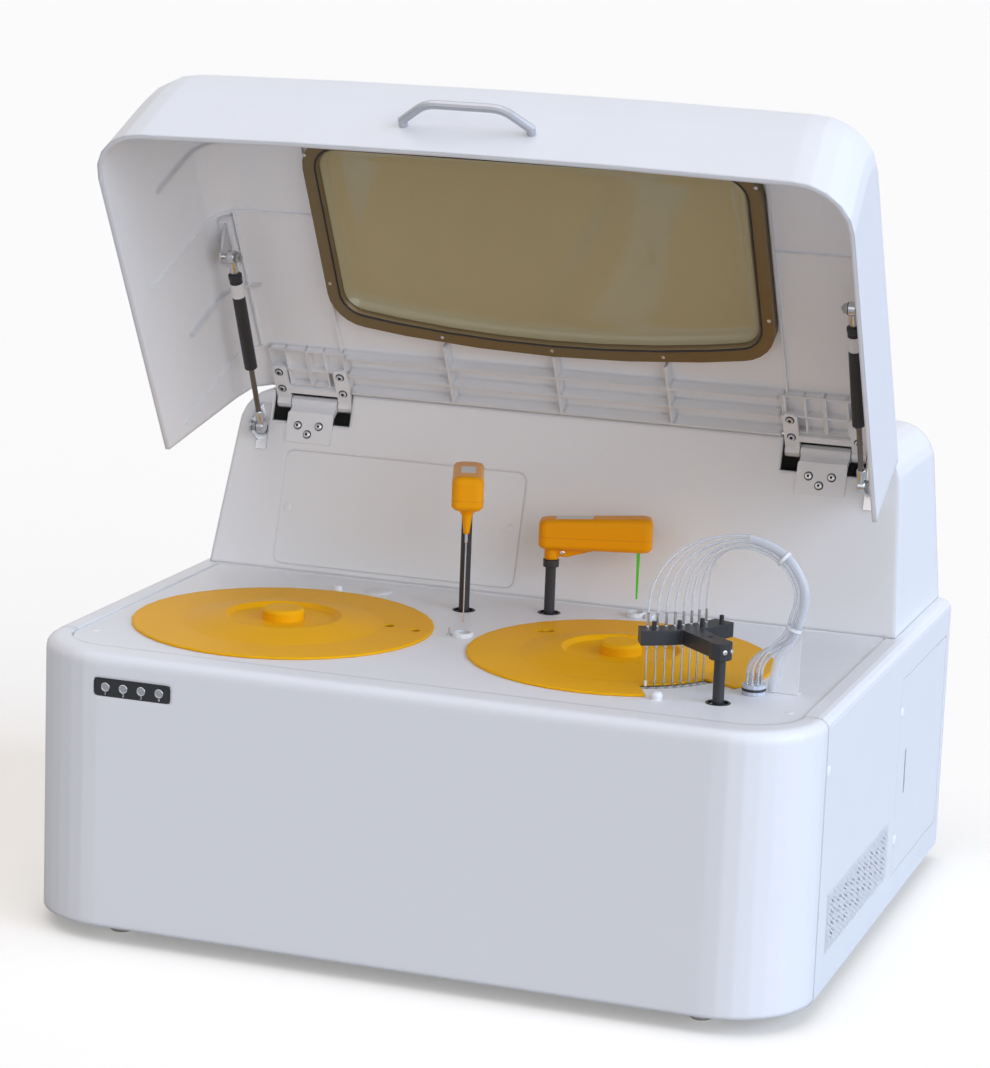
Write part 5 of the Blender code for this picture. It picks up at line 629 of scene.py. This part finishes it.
# The lid's window and frame, in the closed lid's own places
WINDOW_HALF = 0.264
WINDOW_FRONT = -0.205
WINDOW_SIDE = 0.05
WINDOW_RISE = 0.024
WINDOW_CORNER = 0.045
PANE_INSET = 0.015
PANE_TOP = 0.5027
PANE_DISH = ((0.015, 0.4836), (0.0162, 0.4842), (0.0185, 0.488), (0.0215, 0.493),
             (0.026, 0.497), (0.0325, 0.4988), (0.042, 0.4995))
GASKET_INSET = 0.0146
GASKET_Z = 0.482
GASKET_RADIUS = 0.0011
LIP = ((0.0157, 0.4826), (0.016, 0.4822), (0.0182, 0.4846), (0.019, 0.4872))
BORDER_SCREWS = ((-0.2585, -0.179), (0.2585, -0.179), (-0.2585, -0.003), (0.2585, -0.003), (-0.1315, 0.0608),
                 (0.1315, 0.0608), (0, 0.0659), (-0.13, -0.199), (0.13, -0.199), (0, -0.199))
FRAME_FACE = 0.482
ARM_SCREWS = ((0.348, 0.136), (0.348, 0.16), (0.271, 0.136), (0.271, 0.16))
ARM_FACE = 0.484
GRID_UPRIGHTS = (0.356, 0.337, 0.3115, 0.2885, 0.265)
GRID_FRONT = 0.1045
GRID_REAR = 0.1645
GRID_FACE = 0.489
GRID_TOP = 0.4995
RIB = 0.0022
LONG_RIBS = ((0.2675, -0.195, 0.106, 0.4935, 0.4985), (0.366, -0.088, 0.106, 0.4905, 0.4965))
CROSS_RIBS = ((-0.086, 0.2675), (0.106, 0.366))
GRID_CROSS = 0.134
HOOD_WALL_HEIGHTS = (0.42, 0.38, 0.34)
HOOD_TOP = 0.503
HOOD_ARC = 0.046
HOOD_SHOULDER = 0.399
HOOD_FOOT = 0.414
RIB_OUTER = 0.0047
RIB_INNER = 0.0082
FRAME_SCREW = ((0, -0.0004), (0.0021, -0.0004), (0.0021, 0.0002), (0.0016, 0.0004), (0.0011, 0.0002),
               (0, 0.0001))
ARM_SCREW = ((0, 0), (0.0042, 0), (0.0042, 0.0016), (0.0037, 0.0022), (0.002, 0.0022),
             (0.0018, 0.0008), (0, 0.0006))


def rounded_corners(corners, steps=6):
    """A closed outline: each (x, y, radius) corner becomes an arc of points."""
    outline = []
    for index, (x, y, radius) in enumerate(corners):
        spot = Vector((x, y))
        if radius == 0:
            outline.append(spot)
            continue
        before = (Vector(corners[index - 1][:2]) - spot).normalized()
        after = (Vector(corners[(index + 1) % len(corners)][:2]) - spot).normalized()
        half = before.angle(after) / 2
        middle = spot + (before + after).normalized() * (radius / sin(half))
        start = spot + before * (radius / tan(half)) - middle
        end = spot + after * (radius / tan(half)) - middle
        for step in range(steps + 1):
            outline.append(middle + arc_point(start, end, step / steps))
    return outline


def arc_point(start, end, share):
    """A point part of the way round the arc between two spokes."""
    turn = start.angle_signed(end) * share
    return Vector((start.x * cos(turn) + start.y * sin(turn),
                   start.y * cos(turn) - start.x * sin(turn)))


def window_line(inset):
    """The window's outline, drawn in by an inset."""
    half = WINDOW_HALF - inset
    side = WINDOW_SIDE - inset
    radius = max(WINDOW_CORNER - inset, 0.006)
    front = WINDOW_FRONT + inset
    corners = [(-half, front, radius), (half, front, radius), (half, side, radius)]
    for step in range(1, 8):
        share = 1 - step / 4
        corners.append((half * share, side + WINDOW_RISE * (1 - share * share), 0))
    corners.append((-half, side, radius))
    return rounded_corners(corners)


def window_ring(inset, z):
    return [on_lid(point.x, point.y, z) for point in window_line(inset)]


def window_details():
    """The dished acrylic pane, its black gasket and the frame's inner lip."""
    shape = bmesh.new()
    rings = [window_ring(PANE_INSET, PANE_TOP)]
    rings += [window_ring(inset, z) for inset, z in PANE_DISH]
    add_beam(shape, rings)
    pane = piece("acrylic_pane", shape, "pane", "lid", 35)
    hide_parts("window_pane")
    rings = []
    for step in range(8):
        turn = tau * step / 8
        out = GASKET_RADIUS * cos(turn)
        rings.append(window_ring(GASKET_INSET + out, GASKET_Z + GASKET_RADIUS * sin(turn)))
    band_piece("window_gasket", rings, "black", "lid", 60)
    band_piece("window_lip", [window_ring(inset, z) for inset, z in LIP], "border", "lid")


def lid_screws():
    """Small screws round the window frame, and socket-head screws on the hinge arms, with painted shade in
    their counterbores and sockets.
    """
    down = on_lid(0, 0, -1.0) - on_lid(0, 0, 0)
    shape = bmesh.new()
    for x, y in BORDER_SCREWS:
        add_turned(shape, FRAME_SCREW, on_lid(x, y, FRAME_FACE), down, 16)
    piece("frame_screws", shape, "steel", "lid")
    for side, word in ((-1, "left"), (1, "right")):
        places = [on_lid(side * x, y, ARM_FACE) for x, y in ARM_SCREWS]
        shape = bmesh.new()
        for place in places:
            add_turned(shape, ARM_SCREW, place, down, 20)
        piece("arm_screws_" + word, shape, "steel", "lid")
        # Dark discs in each counterbore and each socket's hex are painted shade
        shape = bmesh.new()
        for place in places:
            add_turned(shape, disc(0.0052, 0, 0.0003), place, down)
            add_turned(shape, disc(0.00195, 0.001, 0.00212), place, down, 6)
        piece("arm_counterbores_" + word, shape, "dark", "lid")


def lid_block(shape, low, high):
    """Add a box given in the closed lid's places."""
    for corner in add_block(shape, low, high):
        corner.co = on_lid(*corner.co)


def hood_line(start, inset):
    """The inside of the hood from a place on its roof, round the shoulder and down the wall."""
    centre_x = HOOD_SHOULDER - HOOD_ARC
    centre_z = HOOD_TOP - HOOD_ARC
    line = [(start, HOOD_TOP - inset)] if start < centre_x else []
    for step in range(9):
        turn = pi / 2 * (1 - step / 8)
        x = centre_x + (HOOD_ARC - inset) * cos(turn)
        if x > start:
            line.append((x, centre_z + (HOOD_ARC - inset) * sin(turn)))
    for z in HOOD_WALL_HEIGHTS:
        share = (z - CASE_TOP) / (centre_z - CASE_TOP)
        line.append((HOOD_FOOT + (HOOD_SHOULDER - HOOD_FOOT) * share - inset, z))
    return line


def lid_ribs():
    """Thin moulded ribs round each hinge and beside the window."""
    half = RIB / 2
    for side, word in ((-1, "left"), (1, "right")):
        shape = bmesh.new()
        for x in GRID_UPRIGHTS:
            low = (side * x - half, GRID_FRONT, GRID_FACE)
            lid_block(shape, low, (side * x + half, GRID_REAR, GRID_TOP))
        start, end = sorted((side * (GRID_UPRIGHTS[0] + RIB), side * (GRID_UPRIGHTS[-1] - RIB)))
        lid_block(shape, (start, GRID_CROSS - half, GRID_FACE), (end, GRID_CROSS + half, GRID_TOP))
        for x, front, rear, low, high in LONG_RIBS:
            lid_block(shape, (side * x - half, front, low), (side * x + half, rear, high))
        for y, start in CROSS_RIBS:
            rings = []
            for outer, inner in zip(hood_line(start, RIB_OUTER), hood_line(start, RIB_INNER)):
                corners = ((outer, -half), (outer, half), (inner, half), (inner, -half))
                rings.append([on_lid(side * x, y + across, z) for (x, z), across in corners])
            add_beam(shape, rings)
        piece("hinge_ribs_" + word, shape, "shell", "lid")


# Gas struts: the upper eye rides the cylinder, the lower eye the rod
STRUT_X = 0.3615
STRUT_TOP = (0.0418, 0.6902)
STRUT_FOOT = (0.1385, 0.4799)
SOCKET = ((0, -0.0045), (0.0068, -0.0045), (0.0078, -0.0035), (0.0078, 0.0035), (0.0068, 0.0045),
          (0, 0.0045))
NECK = ((0, 0.005), (0.0052, 0.006), (0.0052, 0.0215), (0.0046, 0.0225), (0, 0.0225))
NUT = ((0, 0), (0.0056, 0), (0.006, 0.0006), (0.006, 0.0036), (0.0054, 0.0042), (0.003, 0.0042),
       (0.003, 0.0062), (0, 0.0066))
END_CAP = ((0, 0.0223), (0.007, 0.0225), (0.008, 0.0235), (0.008, 0.028), (0.0076, 0.029),
           (0, 0.029))
STRUT_LABEL = ((0.0074, 0.034), (0.00765, 0.034), (0.00765, 0.052), (0.0074, 0.052))
WASHER_PLACE = 0.005
NUT_PLACE = 0.0059


def strut_details():
    """Sockets, collars, caps, a bare label and nuts on each gas strut."""
    for side, word in ((-1, "left"), (1, "right")):
        top = Vector((side * STRUT_X, *STRUT_TOP))
        foot = Vector((side * STRUT_X, *STRUT_FOOT))
        along = (foot - top).normalized()
        cylinder = "strut_cylinder_" + word
        ends = (("upper", top, along, -side, cylinder), ("lower", foot, -along, side, "strut_rod_" + word))
        for name, place, away, facing, body in ends:
            inward = Vector((facing, 0, 0))
            shape = bmesh.new()
            add_turned(shape, SOCKET, place, OUT_RIGHT)
            add_turned(shape, NECK, place, away)
            piece("strut_%s_socket_%s" % (name, word), shape, "steel", body)
            shape = bmesh.new()
            add_turned(shape, disc(0.0072, 0, 0.0009), place + inward * WASHER_PLACE, inward)
            add_turned(shape, NUT, place + inward * NUT_PLACE, inward, 6)
            piece("strut_%s_nut_%s" % (name, word), shape, "zinc", body, 20)
        turned_piece("strut_cap_" + word, END_CAP, top, along, "black", cylinder, 32)
        turned_piece("strut_label_" + word, STRUT_LABEL, top, along, "label", cylinder, 32)


# The arms, in the same measures as part.py
ARM_END = 0.015
ARM_HALF = 0.01725
SEAM_SHARE = 0.42
# The seam's bead, as (outward, upward) points
SEAM_BEAD = ((-0.0004, -0.00022), (0.00012, -0.00018), (0.00012, 0.00018), (-0.0004, 0.00022))
# Each arm's place, turn, reach, underside and heights at its root and tip. Each label's start and end along
# its arm and its half width
SAMPLE_ARM = ((-0.063, 0.03), radians(-70.8), 0.128, 0.438, 0.0265, 0.038)
SAMPLE_LABEL = (0.04, 0.1, 0.008)
MIXER_PLACE = (0.027, 0.064)
MIXER_ANGLE = radians(17)
MIXER_LOW = 0.372
MIXER_TOPS = (0.033, 0.039)
MIXER_LABEL = (0.004, 0.046, 0.0085)
# The lug under the mixer arm: places along it and depths, its half width and its screw
LUG = ((0.0055, 0.01), (0.019, 0.01), (0.0215, 0.0088), (0.05, 0.0012))
LUG_HALF = 0.0045
LUG_SCREW = (0.0125, 0.0055)


def arm_spot(place, angle, along, across, z):
    return lifted(place[0] + along * cos(angle) - across * sin(angle),
                  place[1] + along * sin(angle) + across * cos(angle), z)


def arm_marks(word, place, angle, reach, low, root, tip, sticker, body):
    """A moulding seam round an arm, its bead coloured a darker orange of painted shade, and a bare pale label
    on its top.
    """
    rings = []
    seam = low + root * SEAM_SHARE
    for grow, raised in SEAM_BEAD:
        corners = []
        for side_x, side_y in ((-1, -1), (1, -1), (1, 1), (-1, 1)):
            along = reach + ARM_END + grow if side_x > 0 else -ARM_END - grow
            corners.append((along, side_y * (ARM_HALF + grow), ARM_HALF / 2))
        outline = rounded_corners(corners, 4)
        rings.append([arm_spot(place, angle, point.x, point.y, seam + raised) for point in outline])
    # The seam's bead is real, its darker colour is painted shade
    band_piece(word + "_arm_seam", rings, "seam", body, 60)
    shape = bmesh.new()
    start, end, half = sticker
    corners = []
    for raised in (-0.0003, 0.00025):
        for along, across in ((start, -half), (end, -half), (end, half), (start, half)):
            share = (along + ARM_END) / (reach + 2 * ARM_END)
            height = low + root + (tip - root) * share + raised
            corners.append(shape.verts.new(arm_spot(place, angle, along, across, height)))
    for face in ((0, 1, 2, 3), (4, 5, 6, 7), (0, 1, 5, 4), (1, 2, 6, 5), (2, 3, 7, 6), (3, 0, 4, 7)):
        shape.faces.new([corners[index] for index in face])
    piece(word + "_arm_label", shape, "label", body)


def arm_details():
    """Seams and labels on both arms, and the mixer arm's lug with its screw."""
    arm_marks("sample", *SAMPLE_ARM, SAMPLE_LABEL, "sample_arm")
    low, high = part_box("mixer_paddle")
    middle = (low + high) / 2
    reach = dist(MIXER_PLACE, (middle.x, middle.y))
    arm_marks("mixer", MIXER_PLACE, MIXER_ANGLE, reach, MIXER_LOW, *MIXER_TOPS, MIXER_LABEL, "mixer_arm")
    rings = []
    for along, deep in LUG:
        corners = ((-LUG_HALF, -deep), (LUG_HALF, -deep), (LUG_HALF, 0.001), (-LUG_HALF, 0.001))
        rings.append([arm_spot(MIXER_PLACE, MIXER_ANGLE, along, across, MIXER_LOW + z)
                      for across, z in corners])
    shape = bmesh.new()
    add_beam(shape, rings)
    piece("mixer_lug", shape, "orange", "mixer_arm")
    shape = bmesh.new()
    facing = Vector((sin(MIXER_ANGLE), -cos(MIXER_ANGLE), 0))
    along, deep = LUG_SCREW
    spot = arm_spot(MIXER_PLACE, MIXER_ANGLE, along, -LUG_HALF, MIXER_LOW - deep)
    add_screw(shape, spot, facing, 0.0028, 0.0016)
    piece("mixer_lug_screw", shape, "steel", "mixer_arm")


# The wash station, in the same measures as part.py
RING_CENTRE = (0.1621, -0.0997)
PROBE_RING = 0.126
PROBE_START = -61.2
PROBE_STEP = 4.5
PROBES = 8
HEAD_TOP = 0.36
HEAD_LOW = 0.3445
NEEDLE_END = 0.29715
POST = (0.3085, -0.2365)
CLAMP_REACH = 0.0117
CLAMP_SCREW_HEIGHT = 0.3515
CLAMP_SCREW_TURNS = (-54, -6)
SET_SCREW = (0.2925, -0.22)
# Each small connector's corner and width on the deck
CONNECTORS = ((0.346, -0.16, 0.005), (0.356, -0.159, 0.008))
FITTING = (0.332, -0.184)
FITTING_TOP = 0.3067
SEAL_REACH = 0.0117
SEAL_HEIGHT = 0.3014
SEAL_RADIUS = 0.0012
NIPPLE_RING = 0.0078
NIPPLE = ((0, 0), (0.0019, 0), (0.0019, 0.001), (0.00135, 0.0015), (0.00135, 0.0106), (0, 0.0106))
PROBE_TIP = ((0, 0.29712), (0.0013, 0.29712), (0.0017, 0.2982), (0.0017, 0.3035), (0, 0.304))
# A flat dark disc of painted shade for the set screw's hole
SET_SCREW_HOLE_SHADE = ((0, 0), (0.003, 0), (0.003, 0.0002), (0, 0.00025))
TIE_BAND = ((0.0081, -0.0016), (0.009, -0.0016), (0.009, 0.0016), (0.0081, 0.0016))
# The bundle's way in the fitting's plane, as (x, height above the case) stations
BUNDLE_ROUTE = ((0.283, 0.143), (0.32, 0.157), (0.357, 0.143), (0.377, 0.11), (0.371, 0.072),
                (0.352, 0.043))
# How far the tubes start above the head and the fitting, and how hard their ends pull
NOZZLE_RISE = 0.0152
NIPPLE_RISE = 0.0112
NOZZLE_PULL = 0.45
NIPPLE_PULL = 0.4
TUBE_RADIUS = 0.00125
ROW_PITCH = 0.0042
TIE_STATIONS = (2, 4)
BUNDLED = (1, 2, 3, 4)
SLEEVE_OUT = 0.0036
SLEEVE_RADIUS = 0.0047
SLEEVE_FOOT = ((0.355, -0.177, 0.334), (0.3475, -0.169, 0.2985))


def round_spot(centre, reach, turn, height):
    """A place at a reach and a turn about an upright axis."""
    return lifted(centre[0] + reach * cos(turn), centre[1] + reach * sin(turn), height)


def probe_spot(index, height=0.0):
    return round_spot(RING_CENTRE, PROBE_RING, radians(PROBE_START + PROBE_STEP * index), height)


def nipple_spot(index, height):
    return round_spot(FITTING, NIPPLE_RING, tau * index / PROBES, height)


def probe_details():
    """Steel needles, ferrules and nozzles over the head's black probes."""
    needle = ((0, NEEDLE_END), (0.0009, NEEDLE_END), (0.00118, NEEDLE_END + 0.001), (0.00118, 0.337),
              (0.0021, 0.3382), (0.0021, HEAD_LOW), (0, HEAD_LOW))
    nozzle = ((0, HEAD_TOP), (0.0021, HEAD_TOP), (0.0021, HEAD_TOP + 0.0012), (0.00148, HEAD_TOP + 0.0018),
              (0.00148, 0.3746), (0, 0.3746))
    for index in range(PROBES):
        shape = bmesh.new()
        add_turned(shape, needle, probe_spot(index), UPRIGHT, 12)
        add_turned(shape, nozzle, probe_spot(index), UPRIGHT, 12)
        piece("wash_probe_%d" % (index + 1), shape, "steel", "wash_lift", 30)
    turned_piece("probe_tip", PROBE_TIP, probe_spot(0), UPRIGHT, "cup", "wash_lift", 12)


def head_details():
    """Clamp screws, a dark disc of painted shade for the set-screw hole, the fitting's nipples and its seal.
    """
    shape = bmesh.new()
    for degrees in CLAMP_SCREW_TURNS:
        away = Vector((cos(radians(degrees)), sin(radians(degrees)), 0))
        add_screw(shape, lifted(*POST, CLAMP_SCREW_HEIGHT) + away * CLAMP_REACH, away, 0.0026, 0.0016)
    piece("clamp_screws", shape, "steel", "wash_lift")
    # The set-screw hole is a dark disc of painted shade
    hole_shade = lifted(*SET_SCREW, HEAD_TOP)
    turned_piece("head_hole", SET_SCREW_HOLE_SHADE, hole_shade, UPRIGHT, "dark", "wash_lift")
    shape = bmesh.new()
    for x, y, width in CONNECTORS:
        add_block(shape, lifted(x, y, DECK), lifted(x + width, y + 0.005, DECK + 0.0034), 0.0005)
    piece("deck_connectors", shape, "black", "base")
    rings = []
    for step in range(8):
        turn = tau * step / 8
        reach = SEAL_REACH + SEAL_RADIUS * cos(turn)
        height = SEAL_HEIGHT + SEAL_RADIUS * sin(turn)
        rings.append([round_spot(FITTING, reach, tau * part / 32, height) for part in range(32)])
    band_piece("fitting_seal", rings, "black", "base", 60)
    shape = bmesh.new()
    for index in range(PROBES):
        add_turned(shape, NIPPLE, nipple_spot(index, FITTING_TOP), UPRIGHT, 12)
    piece("fitting_nipples", shape, "steel", "base", 30)


def route_centre(index):
    x, height = BUNDLE_ROUTE[index]
    return lifted(x, FITTING[1], CASE_TOP + height)


def route_heading(index):
    before = route_centre(max(index - 1, 0))
    after = route_centre(min(index + 1, len(BUNDLE_ROUTE) - 1))
    return (after - before).normalized()


def route_knot(points, end, inner):
    """A point beyond an end, so that the curve keeps turning there."""
    return points[end] + (points[end] - points[inner]) * 0.8 - Vector((0, 0, 0.02))


def smooth_line(points, spacing=0.003):
    """Points at a close spacing on a smooth curve through the given points."""
    knots = [route_knot(points, 0, 1), *points, route_knot(points, -1, -2)]
    line = []
    for first, start, end, last in zip(knots, knots[1:], knots[2:], knots[3:]):
        count = max(int((end - start).length / spacing), 1)
        bend = first * 2 - start * 5 + end * 4 - last
        twist = start * 3 - first - end * 3 + last
        for step in range(count):
            t = step / count
            line.append(0.5 * (start * 2 + (end - first) * t + bend * t ** 2 + twist * t ** 3))
    return line + [points[-1]]


def tube_route(index):
    """A tube's way from its nozzle, through its place in the bundle, to its nipple."""
    nozzle = probe_spot(index, HEAD_TOP + NOZZLE_RISE)
    nipple = nipple_spot(index, FITTING_TOP + NIPPLE_RISE)
    points = []
    for station in BUNDLED:
        heading = route_heading(station)
        outward = Vector((-heading.z, 0, heading.x))
        row = (PROBES - 2) / 4 - index // 2
        sideways = Vector((0, (index % 2 - 0.5) * ROW_PITCH, 0))
        points.append(route_centre(station) + outward * (row * ROW_PITCH) + sideways)
    rise = Vector(UPRIGHT)
    start = bow(nozzle, rise, points[0], route_heading(BUNDLED[0]), NOZZLE_PULL)
    end = bow(points[-1], route_heading(BUNDLED[-1]), nipple, -rise, NIPPLE_PULL)
    return start[:-1] + smooth_line(points) + end[1:]


def bow(start, leaving, end, arriving, pull, steps=20):
    """A curve that leaves one point and reaches another in given directions."""
    reach = (end - start).length * pull
    first = start + leaving.normalized() * reach
    last = end - arriving.normalized() * reach
    line = []
    for step in range(steps + 1):
        t = step / steps
        near = start * (1 - t) ** 3 + first * (3 * t * (1 - t) ** 2)
        line.append(near + last * (3 * t * t * (1 - t)) + end * t ** 3)
    return line


def bend_with_head(made):
    """Bake a piece's placement into its mesh."""
    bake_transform(made)


def loose_piece(name, shape, look):
    """A piece that rides on no body."""
    made = finished(name, shape, look, 60)
    return made


def tube_ties():
    """Two white bands that hold the bundle together."""
    ties = []
    for station in TIE_STATIONS:
        shape = bmesh.new()
        add_turned(shape, TIE_BAND, route_centre(station), route_heading(station), 28)
        tie = loose_piece("tube_tie_%d" % station, shape, "cup")
        bend_with_head(tie)
        ties.append(tie)
    return ties


def wash_tubes():
    """Eight clear tubes from the head to the fitting, tied in a bundle."""
    ties = tube_ties()
    for index in range(PROBES):
        line = tube_route(index)
        shape = bmesh.new()
        add_tube(shape, line, TUBE_RADIUS, 8)
        made = loose_piece("clear_tube_%d" % (index + 1), shape, "tube")
        if index == 0:
            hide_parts("wash_tubes")
        bend_with_head(made)


def drain_sleeve():
    """The wide clear hose that rises from the deck and holds the back of the bundle."""
    line = []
    for station in range(1, len(BUNDLE_ROUTE) - 1):
        heading = route_heading(station)
        line.append(route_centre(station) + Vector((-heading.z, 0, heading.x)) * SLEEVE_OUT)
    line += [lifted(*place) for place in SLEEVE_FOOT]
    line = smooth_line(line)[::-1]
    shape = bmesh.new()
    add_tube(shape, line, SLEEVE_RADIUS, 20, False)
    made = loose_piece("clear_sleeve", shape, "sleeve")
    bend_with_head(made)


# The button strip's bezel and the vent's fine perforations
BEZEL_WIDTH = 0.0012
BEZEL_CORNER = 0.004
MESH_PITCH = 0.006
MESH_HOLE = 0.0022
# The sheet's two faces, by their distance from the side panel
MESH_FACES = (0.00005, 0.00035)
MESH_RIM = ((-1, -1), (0, -1), (1, -1), (1, 0), (1, 1), (0, 1), (-1, 1), (-1, 0))


def bezel():
    """A raised rim with round corners about the button strip."""
    low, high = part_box("button_strip")
    rings = []
    face = -HALF_DEPTH + 0.0004
    steps = ((BEZEL_WIDTH, face), (BEZEL_WIDTH, low.y - 0.0001), (BEZEL_WIDTH / 2, low.y - 0.0005),
             (-0.0003, low.y - 0.0002), (-0.0003, face))
    for grow, y in steps:
        left, right, bottom, top = low.x - grow, high.x + grow, low.z - grow, high.z + grow
        round_by = BEZEL_CORNER + grow
        corners = [(left, bottom, round_by), (right, bottom, round_by), (right, top, round_by),
                   (left, top, round_by)]
        rings.append([Vector((point.x, y, point.y)) for point in rounded_corners(corners)])
    band_piece("strip_bezel", rings, "black", "base", 50)


def add_vent_hole(shape, out, y, z, wide, tall):
    """Add a square of the vent's sheet about a round hole."""
    outer = []
    inner = []
    for across, up in MESH_RIM:
        reach = MESH_HOLE / hypot(across, up)
        outer.append(lifted(HALF_WIDTH + out, y + across * wide / 2, z + up * tall / 2))
        inner.append(lifted(HALF_WIDTH + out, y + across * reach, z + up * reach))
    skin(shape, [outer, inner])


def vent_mesh():
    """A thin sheet of small round holes, staggered, over the side's vent."""
    (low_y, low_z), (high_y, high_z) = VENT_BOX
    columns = round((high_y - low_y) / MESH_PITCH)
    rows = round((high_z - low_z) / MESH_PITCH)
    wide = (high_y - low_y) / columns
    tall = (high_z - low_z) / rows
    half = wide / 2
    shape = bmesh.new()
    for out in MESH_FACES:
        for column in range(columns):
            y = low_y + (column + 0.5) * wide
            shift = column % 2 * 0.5
            if shift:
                for start, end in ((low_z, low_z + tall / 2), (high_z - tall / 2, high_z)):
                    corners = ((y - half, start), (y + half, start), (y + half, end), (y - half, end))
                    spots = [lifted(HALF_WIDTH + out, *corner) for corner in corners]
                    shape.faces.new([shape.verts.new(spot) for spot in spots])
            for row in range(rows - column % 2):
                add_vent_hole(shape, out, y, low_z + (row + 0.5 + shift) * tall, wide, tall)
    piece("vent_mesh", shape, "shell", "base")


COLUMN_RADIUS = 0.006
COLUMN_TOP_RADIUS = 0.0045
COLUMN_BODIES = (("sample_column", "sample_lift"), ("mixer_column", "mixer_lift"),
                 ("wash_column", "wash_lift"))
# The mixer column's collar: the gap over it, its height and its rounded edge
COLLAR_GAP = 0.0135
COLLAR_HEIGHT = 0.009
COLLAR_EDGE = 0.0005


def columns():
    """Smooth guide columns in place of the CAD's many-sided ones."""
    for name, body in COLUMN_BODIES:
        low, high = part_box(name)
        centre = Vector(((low.x + high.x) / 2, (low.y + high.y) / 2, 0))
        radius = (high.x - low.x) / 2
        profile = disc(radius, low.z, high.z)
        if name == "mixer_column":
            collar = MIXER_LOW + FOOT - COLLAR_GAP - COLLAR_HEIGHT
            top = collar + COLLAR_HEIGHT - COLLAR_EDGE
            profile = [(0, low.z), (COLUMN_RADIUS, low.z), (COLUMN_RADIUS, collar),
                       (radius - COLLAR_EDGE, collar), (radius, collar + COLLAR_EDGE), (radius, top),
                       (COLUMN_TOP_RADIUS, top), (COLUMN_TOP_RADIUS, high.z), (0, high.z)]
        made = turned_piece(name + "_smooth", profile, centre, UPRIGHT, "black", body, 40)
        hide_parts(name)


def main():
    dress_nodes()
    make_camera()
    make_light()
    make_floor()
    case_caps()
    case_liners()
    button_details()
    deck_details()
    cup_details()
    tower_details()
    window_details()
    lid_screws()
    lid_ribs()
    strut_details()
    arm_details()
    probe_details()
    head_details()
    wash_tubes()
    drain_sleeve()
    bezel()
    vent_mesh()
    columns()


main()
